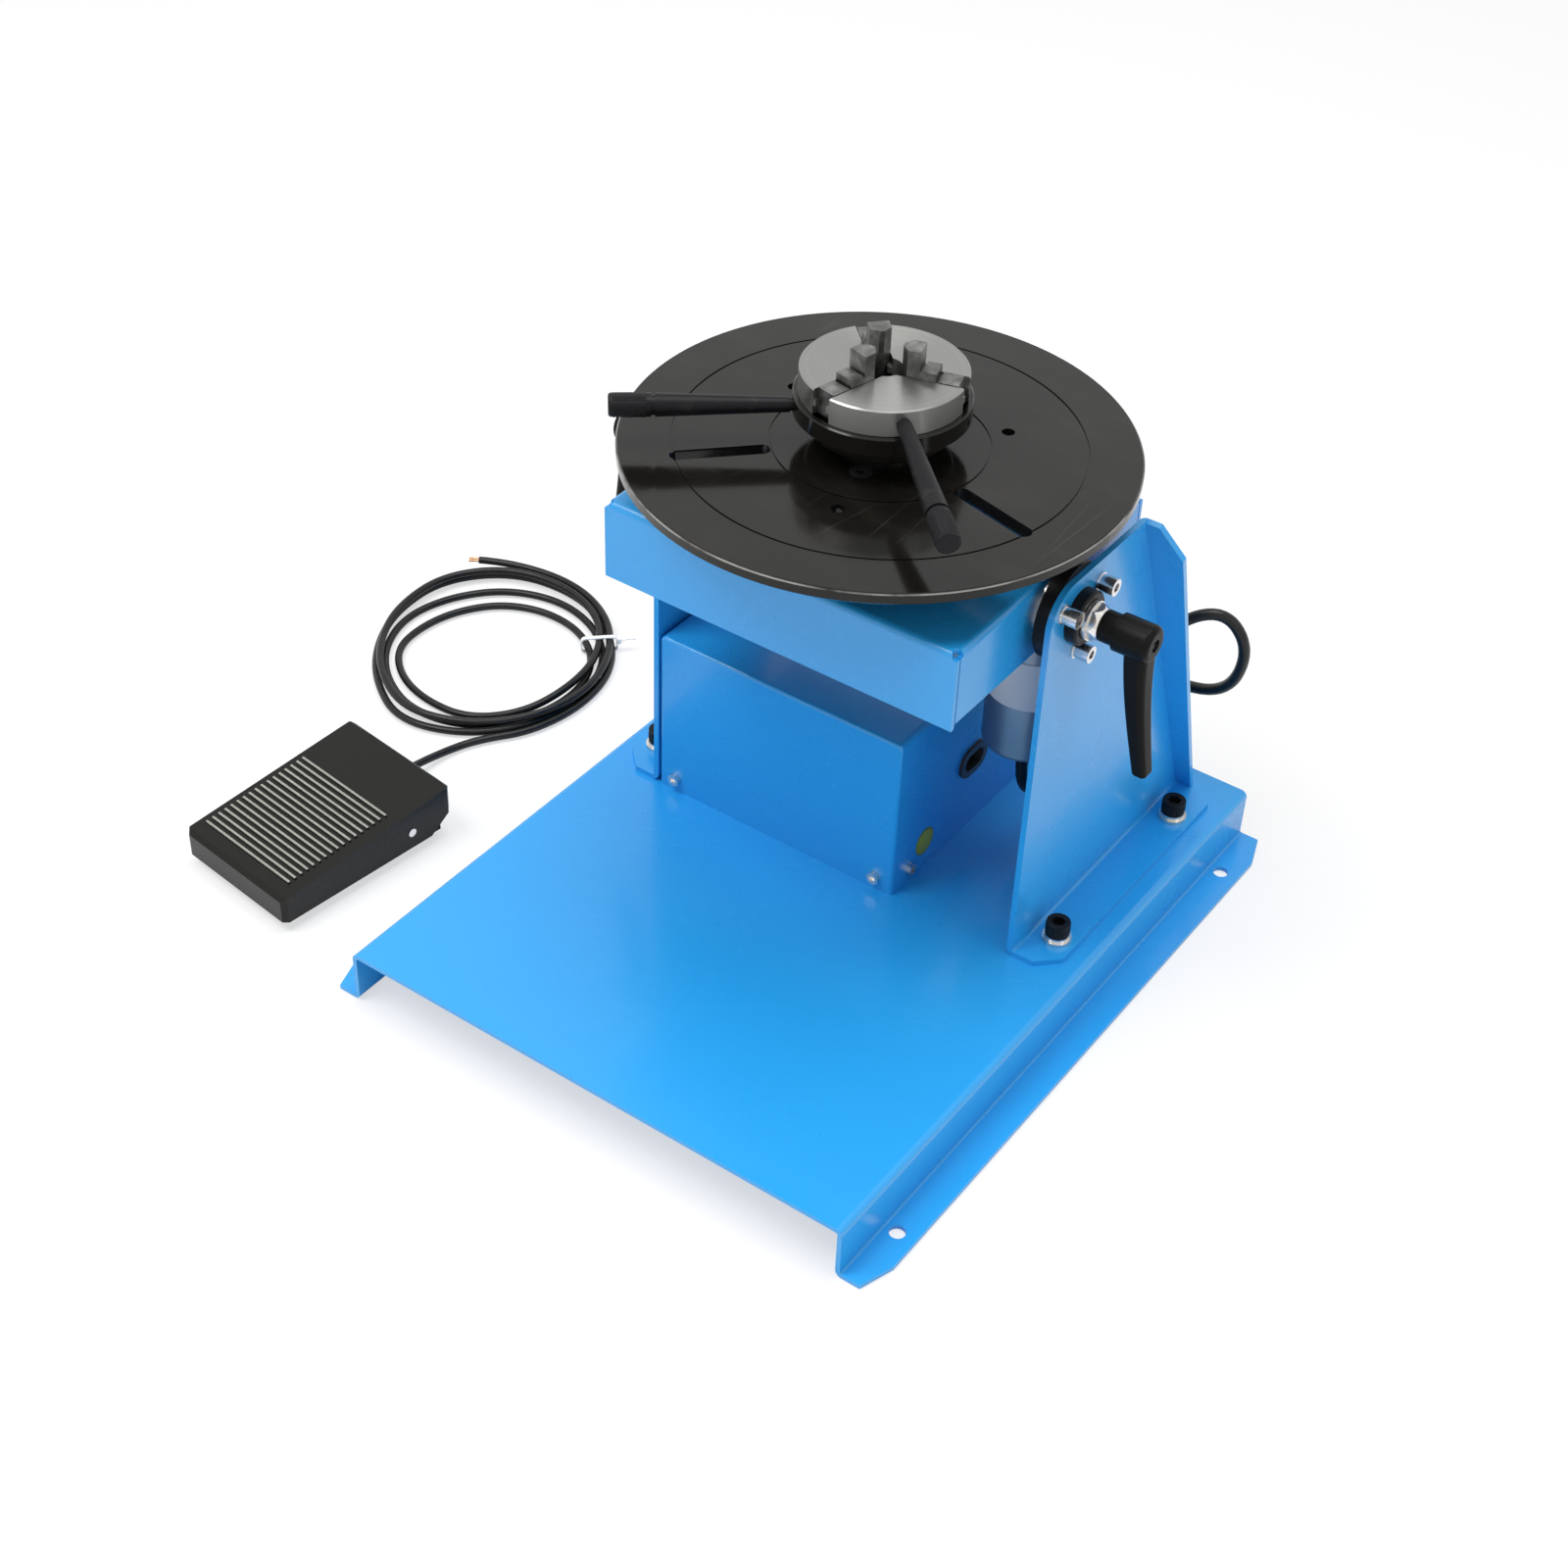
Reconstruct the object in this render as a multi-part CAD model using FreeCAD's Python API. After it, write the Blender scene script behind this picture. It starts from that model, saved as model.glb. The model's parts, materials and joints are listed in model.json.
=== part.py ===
import FreeCAD, Part
import math
import os

V = FreeCAD.Vector

# Bench-top welding positioner: a motor-driven faceplate with a three-jaw scroll chuck, carried in a
# tilting yoke between two brackets, with a control box on the base and a foot pedal beside it.
# Millimetres. X is the tilt axis (to the right), Y points to the rear, Z up; the origin is the centre
# of the four base mounting holes, on the surface that the base stands on.

# ---- base plate -------------------------------------------------------------------------------------
DECK_WIDTH = 240.0
DECK_DEPTH = 315.0
DECK_TOP = 25.0
BASE_SHEET = 2.0
BASE_BEND = 3.0            # outside radius of every base bend
FLANGE_WIDTH = 14.0        # from the outside of a leg to the flange edge
FLANGE_CHAMFER_X = 5.0
FLANGE_CHAMFER_Y = 15.0
BASE_HOLE_X = 252.0        # spacing across
BASE_HOLE_Y = 256.0        # spacing front to rear
BASE_HOLE_R = 3.3

# ---- brackets ---------------------------------------------------------------------------------------
BRACKET_GAP = 12.0         # from the yoke's side to the outer face of a web
BRACKET_SHEET = 2.5
BRACKET_BEND = 4.0
STIFFENER_BEND = 2.4
BRACKET_TOP = 201.0
BRACKET_FRONT = 21.0       # web edge, in front of the pivot
BRACKET_TOP_REAR = 49.0    # web corner, behind the pivot
BRACKET_FOOT_REAR = 121.0  # web corner at the foot, behind the pivot
BRACKET_CORNER_R = 15.0
FOOT_WIDTH = 19.0
FOOT_CHAMFER = 9.0
STIFFENER_TOP_WIDTH = 15.0
STIFFENER_FOOT_WIDTH = 7.0
STIFFENER_CHAMFER = 9.0
FOOT_BOLT_OUT = 10.5       # bolt line, from the outer face of the web
FOOT_BOLT_FRONT = 3.0      # in front of the pivot
FOOT_BOLT_REAR = 94.5      # behind the pivot

# ---- tilt pivot -------------------------------------------------------------------------------------
PIVOT_Y = 25.0
PIVOT_Z = 184.0
STUD_R = 4.0
STUD_HEAD_AF = 13.0
STUD_HEAD_H = 5.5
STUD_IN_LEVER = 9.9        # length of thread inside the lever
PIVOT_FLANGE_R = 20.0
PIVOT_FLANGE_T = 5.5
PIVOT_COLLAR_R = 11.0
PIVOT_COLLAR_OUT = 5.0     # collar beyond the web
PIVOT_SCREW_CIRCLE = 15.5
RUN_FIT = 0.05             # radial clearance of parts that turn on each other
FACE_GAP = 0.3             # between faces that turn past each other
THRUST_WASHER_R = 13.0
STUD_WASHER_R = 8.0
STUD_WASHER_T = 1.5
STUD_NUT_AF = 13.0
STUD_NUT_T = 4.0

# ---- clamp levers -----------------------------------------------------------------------------------
LEVER_NECK_R = 6.3
LEVER_NECK_L = 6.5
LEVER_HUB_R = 7.6
LEVER_HUB_L = 15.0
LEVER_ARM_IN = 6.0         # from the outer end of the hub to the middle of the arm
LEVER_REACH = 59.0         # from the pivot axis to the tip of the arm
LEVER_TOP_WIDTH = 11.5
LEVER_TOP_DEPTH = 10.5
LEVER_TIP_WIDTH = 7.5
LEVER_TIP_DEPTH = 6.2
LEVER_LEAN = 8.5           # how far the tip leans outwards
LEVER_INSERT_R = 5.2
LEVER_INSERT_L = 12.0
LEVER_CAP_R = 2.6
LEVER_TIP_ROUND = 1.2

# ---- yoke -------------------------------------------------------------------------------------------
YOKE_WIDTH = 160.0
YOKE_DEPTH = 134.0
YOKE_TOP = 198.5
YOKE_FRONT_DROP = 34.5
YOKE_SIDE_DROP = 32.5
YOKE_SHEET = 2.0
YOKE_BEND = 3.0
RELIEF_R = 2.2
SEAM = 0.6

# ---- spindle, bearings and drive --------------------------------------------------------------------
BEARING_BORE_R = 10.0
BEARING_OUT_R = 21.0
BEARING_W = 12.0
BEARING_RING = 3.5         # radial thickness of a ring
SHIELD_T = 1.0
BEARING_LOW_Z = 180.0      # underside of the lower bearing
BEARING_HIGH_Z = 199.5     # underside of the upper bearing
HOUSING_R = 26.0
HOUSING_FLANGE_R = 38.0
HOUSING_FLANGE_T = 5.0
HOUSING_LIP_R = 18.0
HOUSING_SCREW_CIRCLE = 32.0
SPINDLE_BORE_R = 6.0
SPINDLE_FLANGE_R = 30.0
SPINDLE_FLANGE_T = 5.0
SPINDLE_BOTTOM = 158.0
GEAR_MODULE = 1.5
GEAR_TEETH = 72
PINION_TEETH = 18
GEAR_W = 8.0
GEAR_BOTTOM = 168.5
GEAR_HUB_R = 15.0
BACKLASH = 0.35
GEAR_WINDOW_R = 7.0
GEAR_WINDOWS = 6
LOCKNUT_R = 15.0
LOCKNUT_T = 7.0
MOTOR_FROM_SIDE = 23.583   # from the yoke's side to the motor axis
MOTOR_PLATE_T = 3.0
MOTOR_PLATE_TOP = 166.0
STANDOFF_R = 3.5
GEARBOX_R = 18.5
GEARBOX_L = 21.0
MOTOR_R = 18.0
MOTOR_L = 57.0
MOTOR_SHAFT_R = 3.0
MOTOR_CAP_R = 8.0
MOTOR_CAP_L = 4.0

# ---- faceplate --------------------------------------------------------------------------------------
PLATE_R = 100.0
PLATE_T = 5.0
PLATE_TOP = 223.5
PLATE_EDGE = 0.8
GROOVE_RADII = (42.0, 79.0)
GROOVE_W = 0.9
GROOVE_DEPTH = 0.5
SLOT_ANGLES = (106.0, 226.0, 346.0)
SLOT_INNER = 42.0          # radius of the inner end of a slot
SLOT_OUTER = 80.5
SLOT_W = 6.5
PLATE_HOLE_CIRCLE = 50.0
PLATE_HOLE_R = 2.6
PLATE_SCREW_CIRCLE = 23.0
PLATE_SCREW_R = 2.5
PLATE_SCREW_HEAD_R = 4.6
HOLE_TURN = 60.0           # holes lie this far round from the slots

# ---- chuck ------------------------------------------------------------------------------------------
NECK_R = 18.0
NECK_H = 7.5
BACK_R = 28.5
BACK_H = 4.7
RING_R = 34.0
RING_STEP_R = 31.8
RING_STEP_H = 1.8
RING_H = 9.0
SCROLL_DEPTH = 2.2
SCROLL_PITCH = 5.0
SCROLL_WALL = 1.8
SCROLL_START = 18.2
SCROLL_TURNS = 2.6
CHUCK_R = 32.0
CHUCK_H = 10.5
CHUCK_EDGE = 0.6
CHUCK_BORE_R = 7.0
CHUCK_HUB_R = 12.0
CHUCK_STEP_R = 16.5
CHUCK_STEP_H = 3.0
JAW_ANGLES = (17.0, 137.0, 257.0)
JAW_W = 8.4
JAW_TIP = 6.8              # radius of the jaw tips as drawn
JAW_OUTER = 29.5
JAW_STEP = 7.5             # radial length of the tall step
JAW_RISE = 11.0            # the tall step above the chuck face
JAW_MID_STEP = 6.5         # radial length of the middle step
JAW_MID_RISE = 3.4
JAW_NOTCH_W = 0.9          # clearance notches across a jaw
JAW_NOTCH_DEPTH = 1.1
JAW_SIDE = 0.15            # clearance of a jaw in its slot
RAIL_IN = 1.6
RAIL_W = 2.6
TOOTH_W = 2.2
TOOTH_DEPTH = 1.9
CHUCK_SCREW_CIRCLE = 9.6
CHUCK_SCREW_R = 1.25
RING_BAR_ANGLE = 219.0
BODY_BAR_ANGLE = 317.0
BAR_PIN_R = 2.4
BAR_PIN_L = 7.0
BAR_ROOT_R = 2.9
BAR_END_R = 4.5
BAR_TAPER_L = 51.0
BAR_GRIP_L = 16.0
BAR_NECK_R = 3.9
BAR_DROOP = 5.5            # the body hole is drilled sloping, so its bar hangs down

# ---- control box ------------------------------------------------------------------------------------
BOX_SIDE_GAP = 1.0         # between the box and the left bracket
BOX_MOTOR_GAP = 5.4        # between the box and the motor
BOX_FRONT = 21.0           # in front of the pivot
BOX_REAR = 100.0           # behind the pivot
BOX_TOP = 104.5
BOX_SHEET = 1.5
BOX_BEND = 2.5
TAB_H = 12.0
BOX_SCREW_UP = 6.5         # screw height above the deck
BOX_SCREW_IN = 8.5         # from the box corner
TOGGLE_PIN_R = 0.6
LEAD_SLOT_W = 18.0
LEAD_SLOT_H = 12.0
LEAD_BACK = 37.0           # middle of the lead opening, behind the pivot
LEAD_Z = 62.0
GROMMET_LIP = 1.3
GROMMET_WALL = 2.0
KNOB_R = 9.5
KNOB_L = 14.0
PANEL_ROW = 78.0           # height of the upper row of controls
PANEL_LOW_ROW = 50.0
CABLE_R = 2.6

# ---- foot pedal -------------------------------------------------------------------------------------
PEDAL_X = -202.0           # middle of the front edge
PEDAL_FRONT = -143.2
PEDAL_TURN = -7.1          # how the pedal lies, turned about the middle of its front edge
PEDAL_LEN = 93.0
PEDAL_FRONT_TOP = 18.0
PEDAL_REAR_TOP = 26.5
PEDAL_SKIRT = 5.0          # height of the skirt's lower edge
PEDAL_HEEL = 14.0          # height of the rear wall's lower edge
PEDAL_CORNER = 2.2
RIB_FRONT = 8.0
RIB_PITCH = 3.3
RIB_COUNT = 17
RIB_W = 1.6
RIB_H = 0.9
PEDAL_W = 66.0
TREADLE_WALL = 2.2
PEDAL_PIN_BACK = 70.0      # pin, behind the pedal front
PEDAL_PIN_Z = 13.5
PEDAL_PIN_R = 2.0
FOOT_H = 2.5
CORD_R = 1.8
CORD_EXIT_X = -8.0         # from the pedal's middle line
CORD_EXIT_Z = 7.0
COIL_X = -229.4
COIL_Y = 50.9
COIL_TURN_POINTS = 12
COIL_START = -30.0         # bearing of the coil's first point
COIL_FLOOR = (61.5, 59.0, 59.3, 59.5, 63.0, 67.3, 65.3, 56.8, 52.5, 54.0, 62.0, 60.3,
              57.4, 55.2, 55.2, 54.0, 54.0, 52.5, 50.0, 50.0, 48.5, 49.0, 53.0, 54.8,
              53.0, 51.4, 50.0, 46.5, 43.0, 40.5, 38.0, 38.5, 42.5, 42.3, 43.6, 48.5)
COIL_RISE = 48.9           # radius where the cord climbs on the turns below
COIL_OVER = (48.8, 51.5, 56.5, 61.0, 65.2, 63.2, 54.8, 50.5, 51.5, 57.5, 57.6,
             57.0, 57.1, 57.2, 60.6, 65.0, 69.6)
CORD_END_BEARING = 134.0
CORD_END_R = 74.2
TIE_T = 0.4
TIE_BEARING = 44.0
TIE_HALF = 2.5             # half the width of the band
TIE_SIDE = 0.8             # room beside the strands
TIE_REACH = (47.6, 59.6)   # radii of the strands it goes round
CORE_L = 5.0
SPRING_BACK = 55.0
SPRING_R = 4.5
SPRING_WIRE_R = 0.6
PLUNGER_BACK = 34.0
PLUNGER_TOP = 14.0
PLUNGER_R = 1.5

# ---- places that follow from the sizes above ----------------------------------------------------------
BRACKET_OUTER = YOKE_WIDTH / 2 + BRACKET_GAP
BRACKET_INNER = BRACKET_OUTER - BRACKET_SHEET
COLLAR_END = BRACKET_OUTER + PIVOT_COLLAR_OUT
STUD_WASHER_X = COLLAR_END + FACE_GAP
STUD_NUT_X = STUD_WASHER_X + STUD_WASHER_T
LEVER_X = STUD_NUT_X + STUD_NUT_T + FACE_GAP
LEVER_END = LEVER_X + LEVER_NECK_L + LEVER_HUB_L
STUD_REACH = LEVER_X + STUD_IN_LEVER
YOKE_SIDE = YOKE_WIDTH / 2
YOKE_UNDER = YOKE_TOP - YOKE_SHEET
PLATE_BOTTOM = PLATE_TOP - PLATE_T
SPINDLE_SHOULDER = BEARING_HIGH_Z + BEARING_W
GEAR_R = GEAR_MODULE * GEAR_TEETH / 2
PINION_R = GEAR_MODULE * PINION_TEETH / 2
MOTOR_X = YOKE_SIDE - MOTOR_FROM_SIDE
MOTOR_ANGLE = math.degrees(math.acos(MOTOR_X / (GEAR_R + PINION_R)))
MOTOR_Y = PIVOT_Y + (GEAR_R + PINION_R) * math.sin(math.radians(MOTOR_ANGLE))
MOTOR_TOP = MOTOR_PLATE_TOP - MOTOR_PLATE_T - GEARBOX_L
MOTOR_TAIL = MOTOR_TOP - MOTOR_L
RING_BOTTOM = PLATE_TOP + NECK_H + BACK_H + 0.2
RING_TOP = RING_BOTTOM + RING_H
CHUCK_BOTTOM = RING_TOP + 0.2
CHUCK_TOP = CHUCK_BOTTOM + CHUCK_H
BOX_LEFT = BOX_SIDE_GAP - BRACKET_INNER
BOX_RIGHT = MOTOR_X - MOTOR_R - BOX_MOTOR_GAP
BOX_FRONT_Y = PIVOT_Y - BOX_FRONT
BOX_REAR_Y = PIVOT_Y + BOX_REAR
PEDAL_REAR = PEDAL_FRONT + PEDAL_LEN
PEDAL_PIN_Y = PEDAL_FRONT + PEDAL_PIN_BACK


# ---- general shapes -----------------------------------------------------------------------------------
def block(x0, x1, y0, y1, z0, z1):
    return Part.makeBox(x1 - x0, y1 - y0, z1 - z0, V(x0, y0, z0))


def rod(r, start, end):
    start, end = V(*start), V(*end)
    return Part.makeCylinder(r, (end - start).Length, start, end - start)


def cone(r_start, r_end, start, end):
    start, end = V(*start), V(*end)
    return Part.makeCone(r_start, r_end, (end - start).Length, start, end - start)


def tube(outer, inner, start, end):
    return rod(outer, start, end).cut(rod(inner, start, end))


def face_of(points):
    return Part.Face(Part.makePolygon([V(*p) for p in points + points[:1]]))


def plate_xy(points, z0, z1):
    return face_of([(x, y, z0) for x, y in points]).extrude(V(0, 0, z1 - z0))


def plate_yz(points, x0, x1):
    return face_of([(x0, y, z) for y, z in points]).extrude(V(x1 - x0, 0, 0))


def plate_xz(points, y0, y1):
    return face_of([(x, y0, z) for x, z in points]).extrude(V(0, y1 - y0, 0))


def hexagon(across_flats, start, end):
    start, end = V(*start), V(*end)
    axis = (end - start).normalize()
    side = V(0, 0, 1) if abs(axis.z) < 0.9 else V(1, 0, 0)
    across = axis.cross(side).normalize()
    up = across.cross(axis)
    r = across_flats / math.sqrt(3)
    corners = []
    for k in range(6):
        turn = math.radians(60 * k)
        corners.append(start + across * (r * math.cos(turn)) + up * (r * math.sin(turn)))
    return Part.Face(Part.makePolygon(corners + corners[:1])).extrude(end - start)


def union(shapes):
    return shapes[0].fuse(shapes[1:]).removeSplitter()


def less(shape, cuts):
    return shape.cut(cuts)


def mirrored(shape):
    return shape.mirror(V(0, 0, 0), V(1, 0, 0))


def both_sides(shapes):
    return Part.makeCompound(shapes + [mirrored(s) for s in shapes])


def polar(r, degrees, x=0.0, y=PIVOT_Y):
    turn = math.radians(degrees)
    return x + r * math.cos(turn), y + r * math.sin(turn)


def fillet_where(shape, radius, test):
    return shape.makeFillet(radius, [e for e in shape.Edges if test(e)])


def chamfer_where(shape, size, test):
    return shape.makeChamfer(size, [e for e in shape.Edges if test(e)])


def runs_along(edge, axis):
    """True for a straight edge that runs along the axis."""
    if not isinstance(edge.Curve, Part.Line):
        return False
    return abs(abs(edge.Curve.Direction.dot(axis.normalize())) - 1) < 1e-6


def edge_at(axis, **place):
    """A test for straight edges along the axis that pass through the given coordinates."""
    def test(edge):
        middle = edge.CenterOfMass
        near = all(abs(getattr(middle, name) - value) < 1e-3 for name, value in place.items())
        return near and runs_along(edge, V(axis))
    return test


def circle_at(z, r):
    """A test for round edges of one radius at one height."""
    def test(edge):
        return (isinstance(edge.Curve, Part.Circle) and abs(edge.Curve.Radius - r) < 1e-3
                and abs(edge.CenterOfMass.z - z) < 1e-3)
    return test


def socket_screw(r, under_head, tip, head_r, head_h):
    """A hexagon socket screw from the underside of its head to its tip."""
    under, end = V(*under_head), V(*tip)
    back = (under - end).normalize()
    top = under + back * head_h
    head = rod(head_r, tuple(under), tuple(top))
    socket = hexagon(1.7 * r, tuple(top - back * (0.55 * head_h)), tuple(top))
    return head.fuse(rod(r, tuple(under), tuple(end))).removeSplitter().cut(socket)


def rounded_rectangle(cx, cy, z, width, depth, radius):
    """A wire with round corners, level, with its centre at cx, cy."""
    w, d, r = width / 2, depth / 2, radius
    k = r * (1 - math.sqrt(0.5))
    edges = []
    corners = ((1, 1), (-1, 1), (-1, -1), (1, -1))
    ends = []
    for sx, sy in corners:
        a = V(cx + sx * w, cy + sy * (d - r), z)
        b = V(cx + sx * (w - r), cy + sy * d, z)
        mid = V(cx + sx * (w - k), cy + sy * (d - k), z)
        if sx * sy < 0:
            a, b = b, a
        ends.append((a, mid, b))
    for i, (a, mid, b) in enumerate(ends):
        edges.append(Part.Arc(a, mid, b).toShape())
        edges.append(Part.LineSegment(b, ends[(i + 1) % 4][0]).toShape())
    return Part.Wire(edges)


def route_tube(points, r):
    """A tube along straight runs joined by tangent arcs. Prints its tightest arc and its length."""
    pts = [V(*p) for p in points]
    edges, here, tightest = [], pts[0], 1e9
    for i in range(1, len(pts) - 1):
        before, after = pts[i] - pts[i - 1], pts[i + 1] - pts[i]
        shorter = min(before.Length, after.Length)
        turn = before.getAngle(after)
        reach = 0.45 * shorter
        radius = reach / math.tan(turn / 2)
        tightest = min(tightest, radius)
        enter = pts[i] - V(before).normalize() * reach
        leave = pts[i] + V(after).normalize() * reach
        inward = (V(after).normalize() - V(before).normalize()).normalize()
        middle = pts[i] + inward * (radius / math.cos(turn / 2) - radius)
        edges.append(Part.LineSegment(here, enter).toShape())
        edges.append(Part.Arc(enter, middle, leave).toShape())
        here = leave
    edges.append(Part.LineSegment(here, pts[-1]).toShape())
    path = Part.Wire(edges)
    ring = Part.Wire(Part.makeCircle(r, pts[0], pts[1] - pts[0]))
    solid = path.makePipeShell([ring], True, True)
    print("tube", round(path.Length, 1), "mm, tightest radius", round(tightest, 1),
          "volume ratio", round(solid.Volume / (math.pi * r * r * path.Length), 4))
    return solid


def save(name, shape):
    if not shape.isValid():
        print("INVALID", name)
    shape.exportStep("parts/" + name + ".step")
    print(name, len(shape.Solids), "solid", round(shape.Volume / 1000, 2), "cm3")


# ---- base and brackets --------------------------------------------------------------------------------
def foot_bolt_places():
    x = BRACKET_OUTER + FOOT_BOLT_OUT
    return [(s * x, PIVOT_Y + y) for s in (-1, 1) for y in (-FOOT_BOLT_FRONT, FOOT_BOLT_REAR)]


def box_screw_places():
    """Each screw: the point on the outside of the cover, and the direction that it points in."""
    z = DECK_TOP + BOX_SCREW_UP
    front = [(x, BOX_FRONT_Y, z, 0, 1) for x in (BOX_LEFT + BOX_SCREW_IN, BOX_RIGHT - BOX_SCREW_IN)]
    rear = [(x, BOX_REAR_Y, z, 0, -1) for x in (BOX_LEFT + BOX_SCREW_IN, BOX_RIGHT - BOX_SCREW_IN)]
    side_y = BOX_FRONT_Y + 1.5 * BOX_SCREW_IN
    return front + rear + [(BOX_RIGHT, side_y, z, -1, 0)]


def base_plate():
    h, t, f, top = DECK_WIDTH / 2, BASE_SHEET, FLANGE_WIDTH, DECK_TOP
    profile = [(-h - f, 0), (-h - f, t), (-h, t), (-h, top), (h, top), (h, t), (h + f, t), (h + f, 0),
               (h - t, 0), (h - t, top - t), (-h + t, top - t), (-h + t, 0)]
    body = plate_xz(profile, -DECK_DEPTH / 2, DECK_DEPTH / 2)
    for s in (-1, 1):
        body = fillet_where(body, BASE_BEND, edge_at(V(0, 1, 0), x=s * h, z=top))
        body = fillet_where(body, BASE_BEND - t, edge_at(V(0, 1, 0), x=s * (h - t), z=top - t))
        body = fillet_where(body, BASE_BEND, edge_at(V(0, 1, 0), x=s * (h - t), z=0))
        body = fillet_where(body, BASE_BEND - t, edge_at(V(0, 1, 0), x=s * h, z=t))
    cuts = []
    edge, end = h + f, DECK_DEPTH / 2
    for sx in (-1, 1):
        for sy in (-1, 1):
            corner = [(sx * edge, sy * end), (sx * (edge - FLANGE_CHAMFER_X), sy * end),
                      (sx * edge, sy * (end - FLANGE_CHAMFER_Y))]
            cuts.append(plate_xy(corner, -1, t + 1))
            cuts.append(rod(BASE_HOLE_R, (sx * BASE_HOLE_X / 2, sy * BASE_HOLE_Y / 2, -1),
                            (sx * BASE_HOLE_X / 2, sy * BASE_HOLE_Y / 2, t + 1)))
    for x, y in foot_bolt_places():
        cuts.append(rod(3.3, (x, y, top - t - 1), (x, y, top + 1)))
    body = less(body, cuts)
    tabs = []
    for x, y, z, dx, dy in box_screw_places():
        skin = BOX_SHEET
        cx, cy = x + dx * skin, y + dy * skin
        tab = block(min(cx, cx + dx * skin) - 6 * abs(dy), max(cx, cx + dx * skin) + 6 * abs(dy),
                    min(cy, cy + dy * skin) - 6 * abs(dx), max(cy, cy + dy * skin) + 6 * abs(dx),
                    top - 0.5, top + TAB_H)
        tabs.append(tab.cut(rod(1.75, (x, y, z), (x + 8 * dx, y + 8 * dy, z))))
    return union([body] + tabs)


def bracket():
    t = BRACKET_SHEET
    front, foot_rear = PIVOT_Y - BRACKET_FRONT, PIVOT_Y + BRACKET_FOOT_REAR
    top_rear = PIVOT_Y + BRACKET_TOP_REAR
    outer = BRACKET_OUTER + FOOT_WIDTH
    angle = plate_xz([(BRACKET_INNER, DECK_TOP), (outer, DECK_TOP), (outer, DECK_TOP + t),
                      (BRACKET_OUTER, DECK_TOP + t), (BRACKET_OUTER, BRACKET_TOP),
                      (BRACKET_INNER, BRACKET_TOP)], front, foot_rear)
    angle = fillet_where(angle, BRACKET_BEND, edge_at(V(0, 1, 0), x=BRACKET_INNER, z=DECK_TOP))
    angle = fillet_where(angle, BRACKET_BEND - t, edge_at(V(0, 1, 0), x=BRACKET_OUTER, z=DECK_TOP + t))
    side = plate_yz([(front, DECK_TOP), (foot_rear, DECK_TOP), (top_rear, BRACKET_TOP),
                     (front, BRACKET_TOP)], BRACKET_INNER - 1, outer + 1)
    side = fillet_where(side, BRACKET_CORNER_R, edge_at(V(1, 0, 0), y=front, z=BRACKET_TOP))
    plan = plate_xy([(BRACKET_INNER, front), (outer - FOOT_CHAMFER, front), (outer, front + FOOT_CHAMFER),
                     (outer, foot_rear - FOOT_CHAMFER), (outer - FOOT_CHAMFER, foot_rear),
                     (BRACKET_INNER, foot_rear)], DECK_TOP, BRACKET_TOP)
    body = angle.common(side).common(plan)
    slope = V(0, top_rear - foot_rear, BRACKET_TOP - DECK_TOP)
    length = slope.Length
    along = V(slope).normalize()
    inward = V(0, -along.z, along.y)
    start = V(0, foot_rear, DECK_TOP)
    wide, narrow = BRACKET_OUTER + STIFFENER_TOP_WIDTH, BRACKET_OUTER + STIFFENER_FOOT_WIDTH
    shape = [(BRACKET_INNER, 0), (narrow, 0), (wide, length - 1.8 * STIFFENER_CHAMFER),
             (wide - STIFFENER_CHAMFER, length), (BRACKET_INNER, length)]
    corners = [start + V(x, 0, 0) + along * s for x, s in shape]
    stiffener = Part.Face(Part.makePolygon(corners + corners[:1])).extrude(inward * t)
    body = union([body, stiffener])

    def outer_bend(edge):
        middle = edge.CenterOfMass
        on_edge = abs((middle - start).dot(inward)) < 1e-3
        return runs_along(edge, V(along)) and abs(middle.x - BRACKET_INNER) < 1e-3 and on_edge

    body = fillet_where(body, STIFFENER_BEND, outer_bend)
    cuts = [block(0, 200, -200, 200, 0, DECK_TOP), block(0, 200, -200, 200, BRACKET_TOP, BRACKET_TOP + 20),
            rod(PIVOT_COLLAR_R + 0.1, (BRACKET_INNER - 1, PIVOT_Y, PIVOT_Z), (BRACKET_OUTER + 1, PIVOT_Y, PIVOT_Z))]
    for y, z in pivot_screw_places():
        cuts.append(rod(2.2, (BRACKET_INNER - 1, y, z), (BRACKET_OUTER + 1, y, z)))
    for x, y in foot_bolt_places()[2:]:
        cuts.append(rod(3.3, (x, y, DECK_TOP - 1), (x, y, DECK_TOP + t + 1)))
    return less(body, cuts)


def bracket_bolts():
    seat = DECK_TOP + BRACKET_SHEET + 3.3
    tip = DECK_TOP - BASE_SHEET - 6.5
    return Part.makeCompound([socket_screw(3, (x, y, seat), (x, y, tip), 5, 6) for x, y in foot_bolt_places()])


def bracket_nuts_washers():
    pieces = []
    seat = DECK_TOP + BRACKET_SHEET
    for x, y in foot_bolt_places():
        pieces.append(tube(6.2, 3.05, (x, y, seat), (x, y, seat + 1.6)))
        pieces.append(tube(5.2, 3.05, (x, y, seat + 1.6), (x, y, seat + 3.3)))
        under = DECK_TOP - BASE_SHEET
        nut = hexagon(10, (x, y, under - 5), (x, y, under))
        pieces.append(nut.cut(rod(3.0, (x, y, under - 6), (x, y, under + 1))))
    return Part.makeCompound(pieces)


# ---- tilt pivot and clamp levers ----------------------------------------------------------------------
def pivot_screw_places():
    places = []
    for turn in (30, 150, 270):
        a = math.radians(turn)
        places.append((PIVOT_Y + PIVOT_SCREW_CIRCLE * math.cos(a), PIVOT_Z + PIVOT_SCREW_CIRCLE * math.sin(a)))
    return places


def on_pivot(x):
    return (x, PIVOT_Y, PIVOT_Z)


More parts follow.
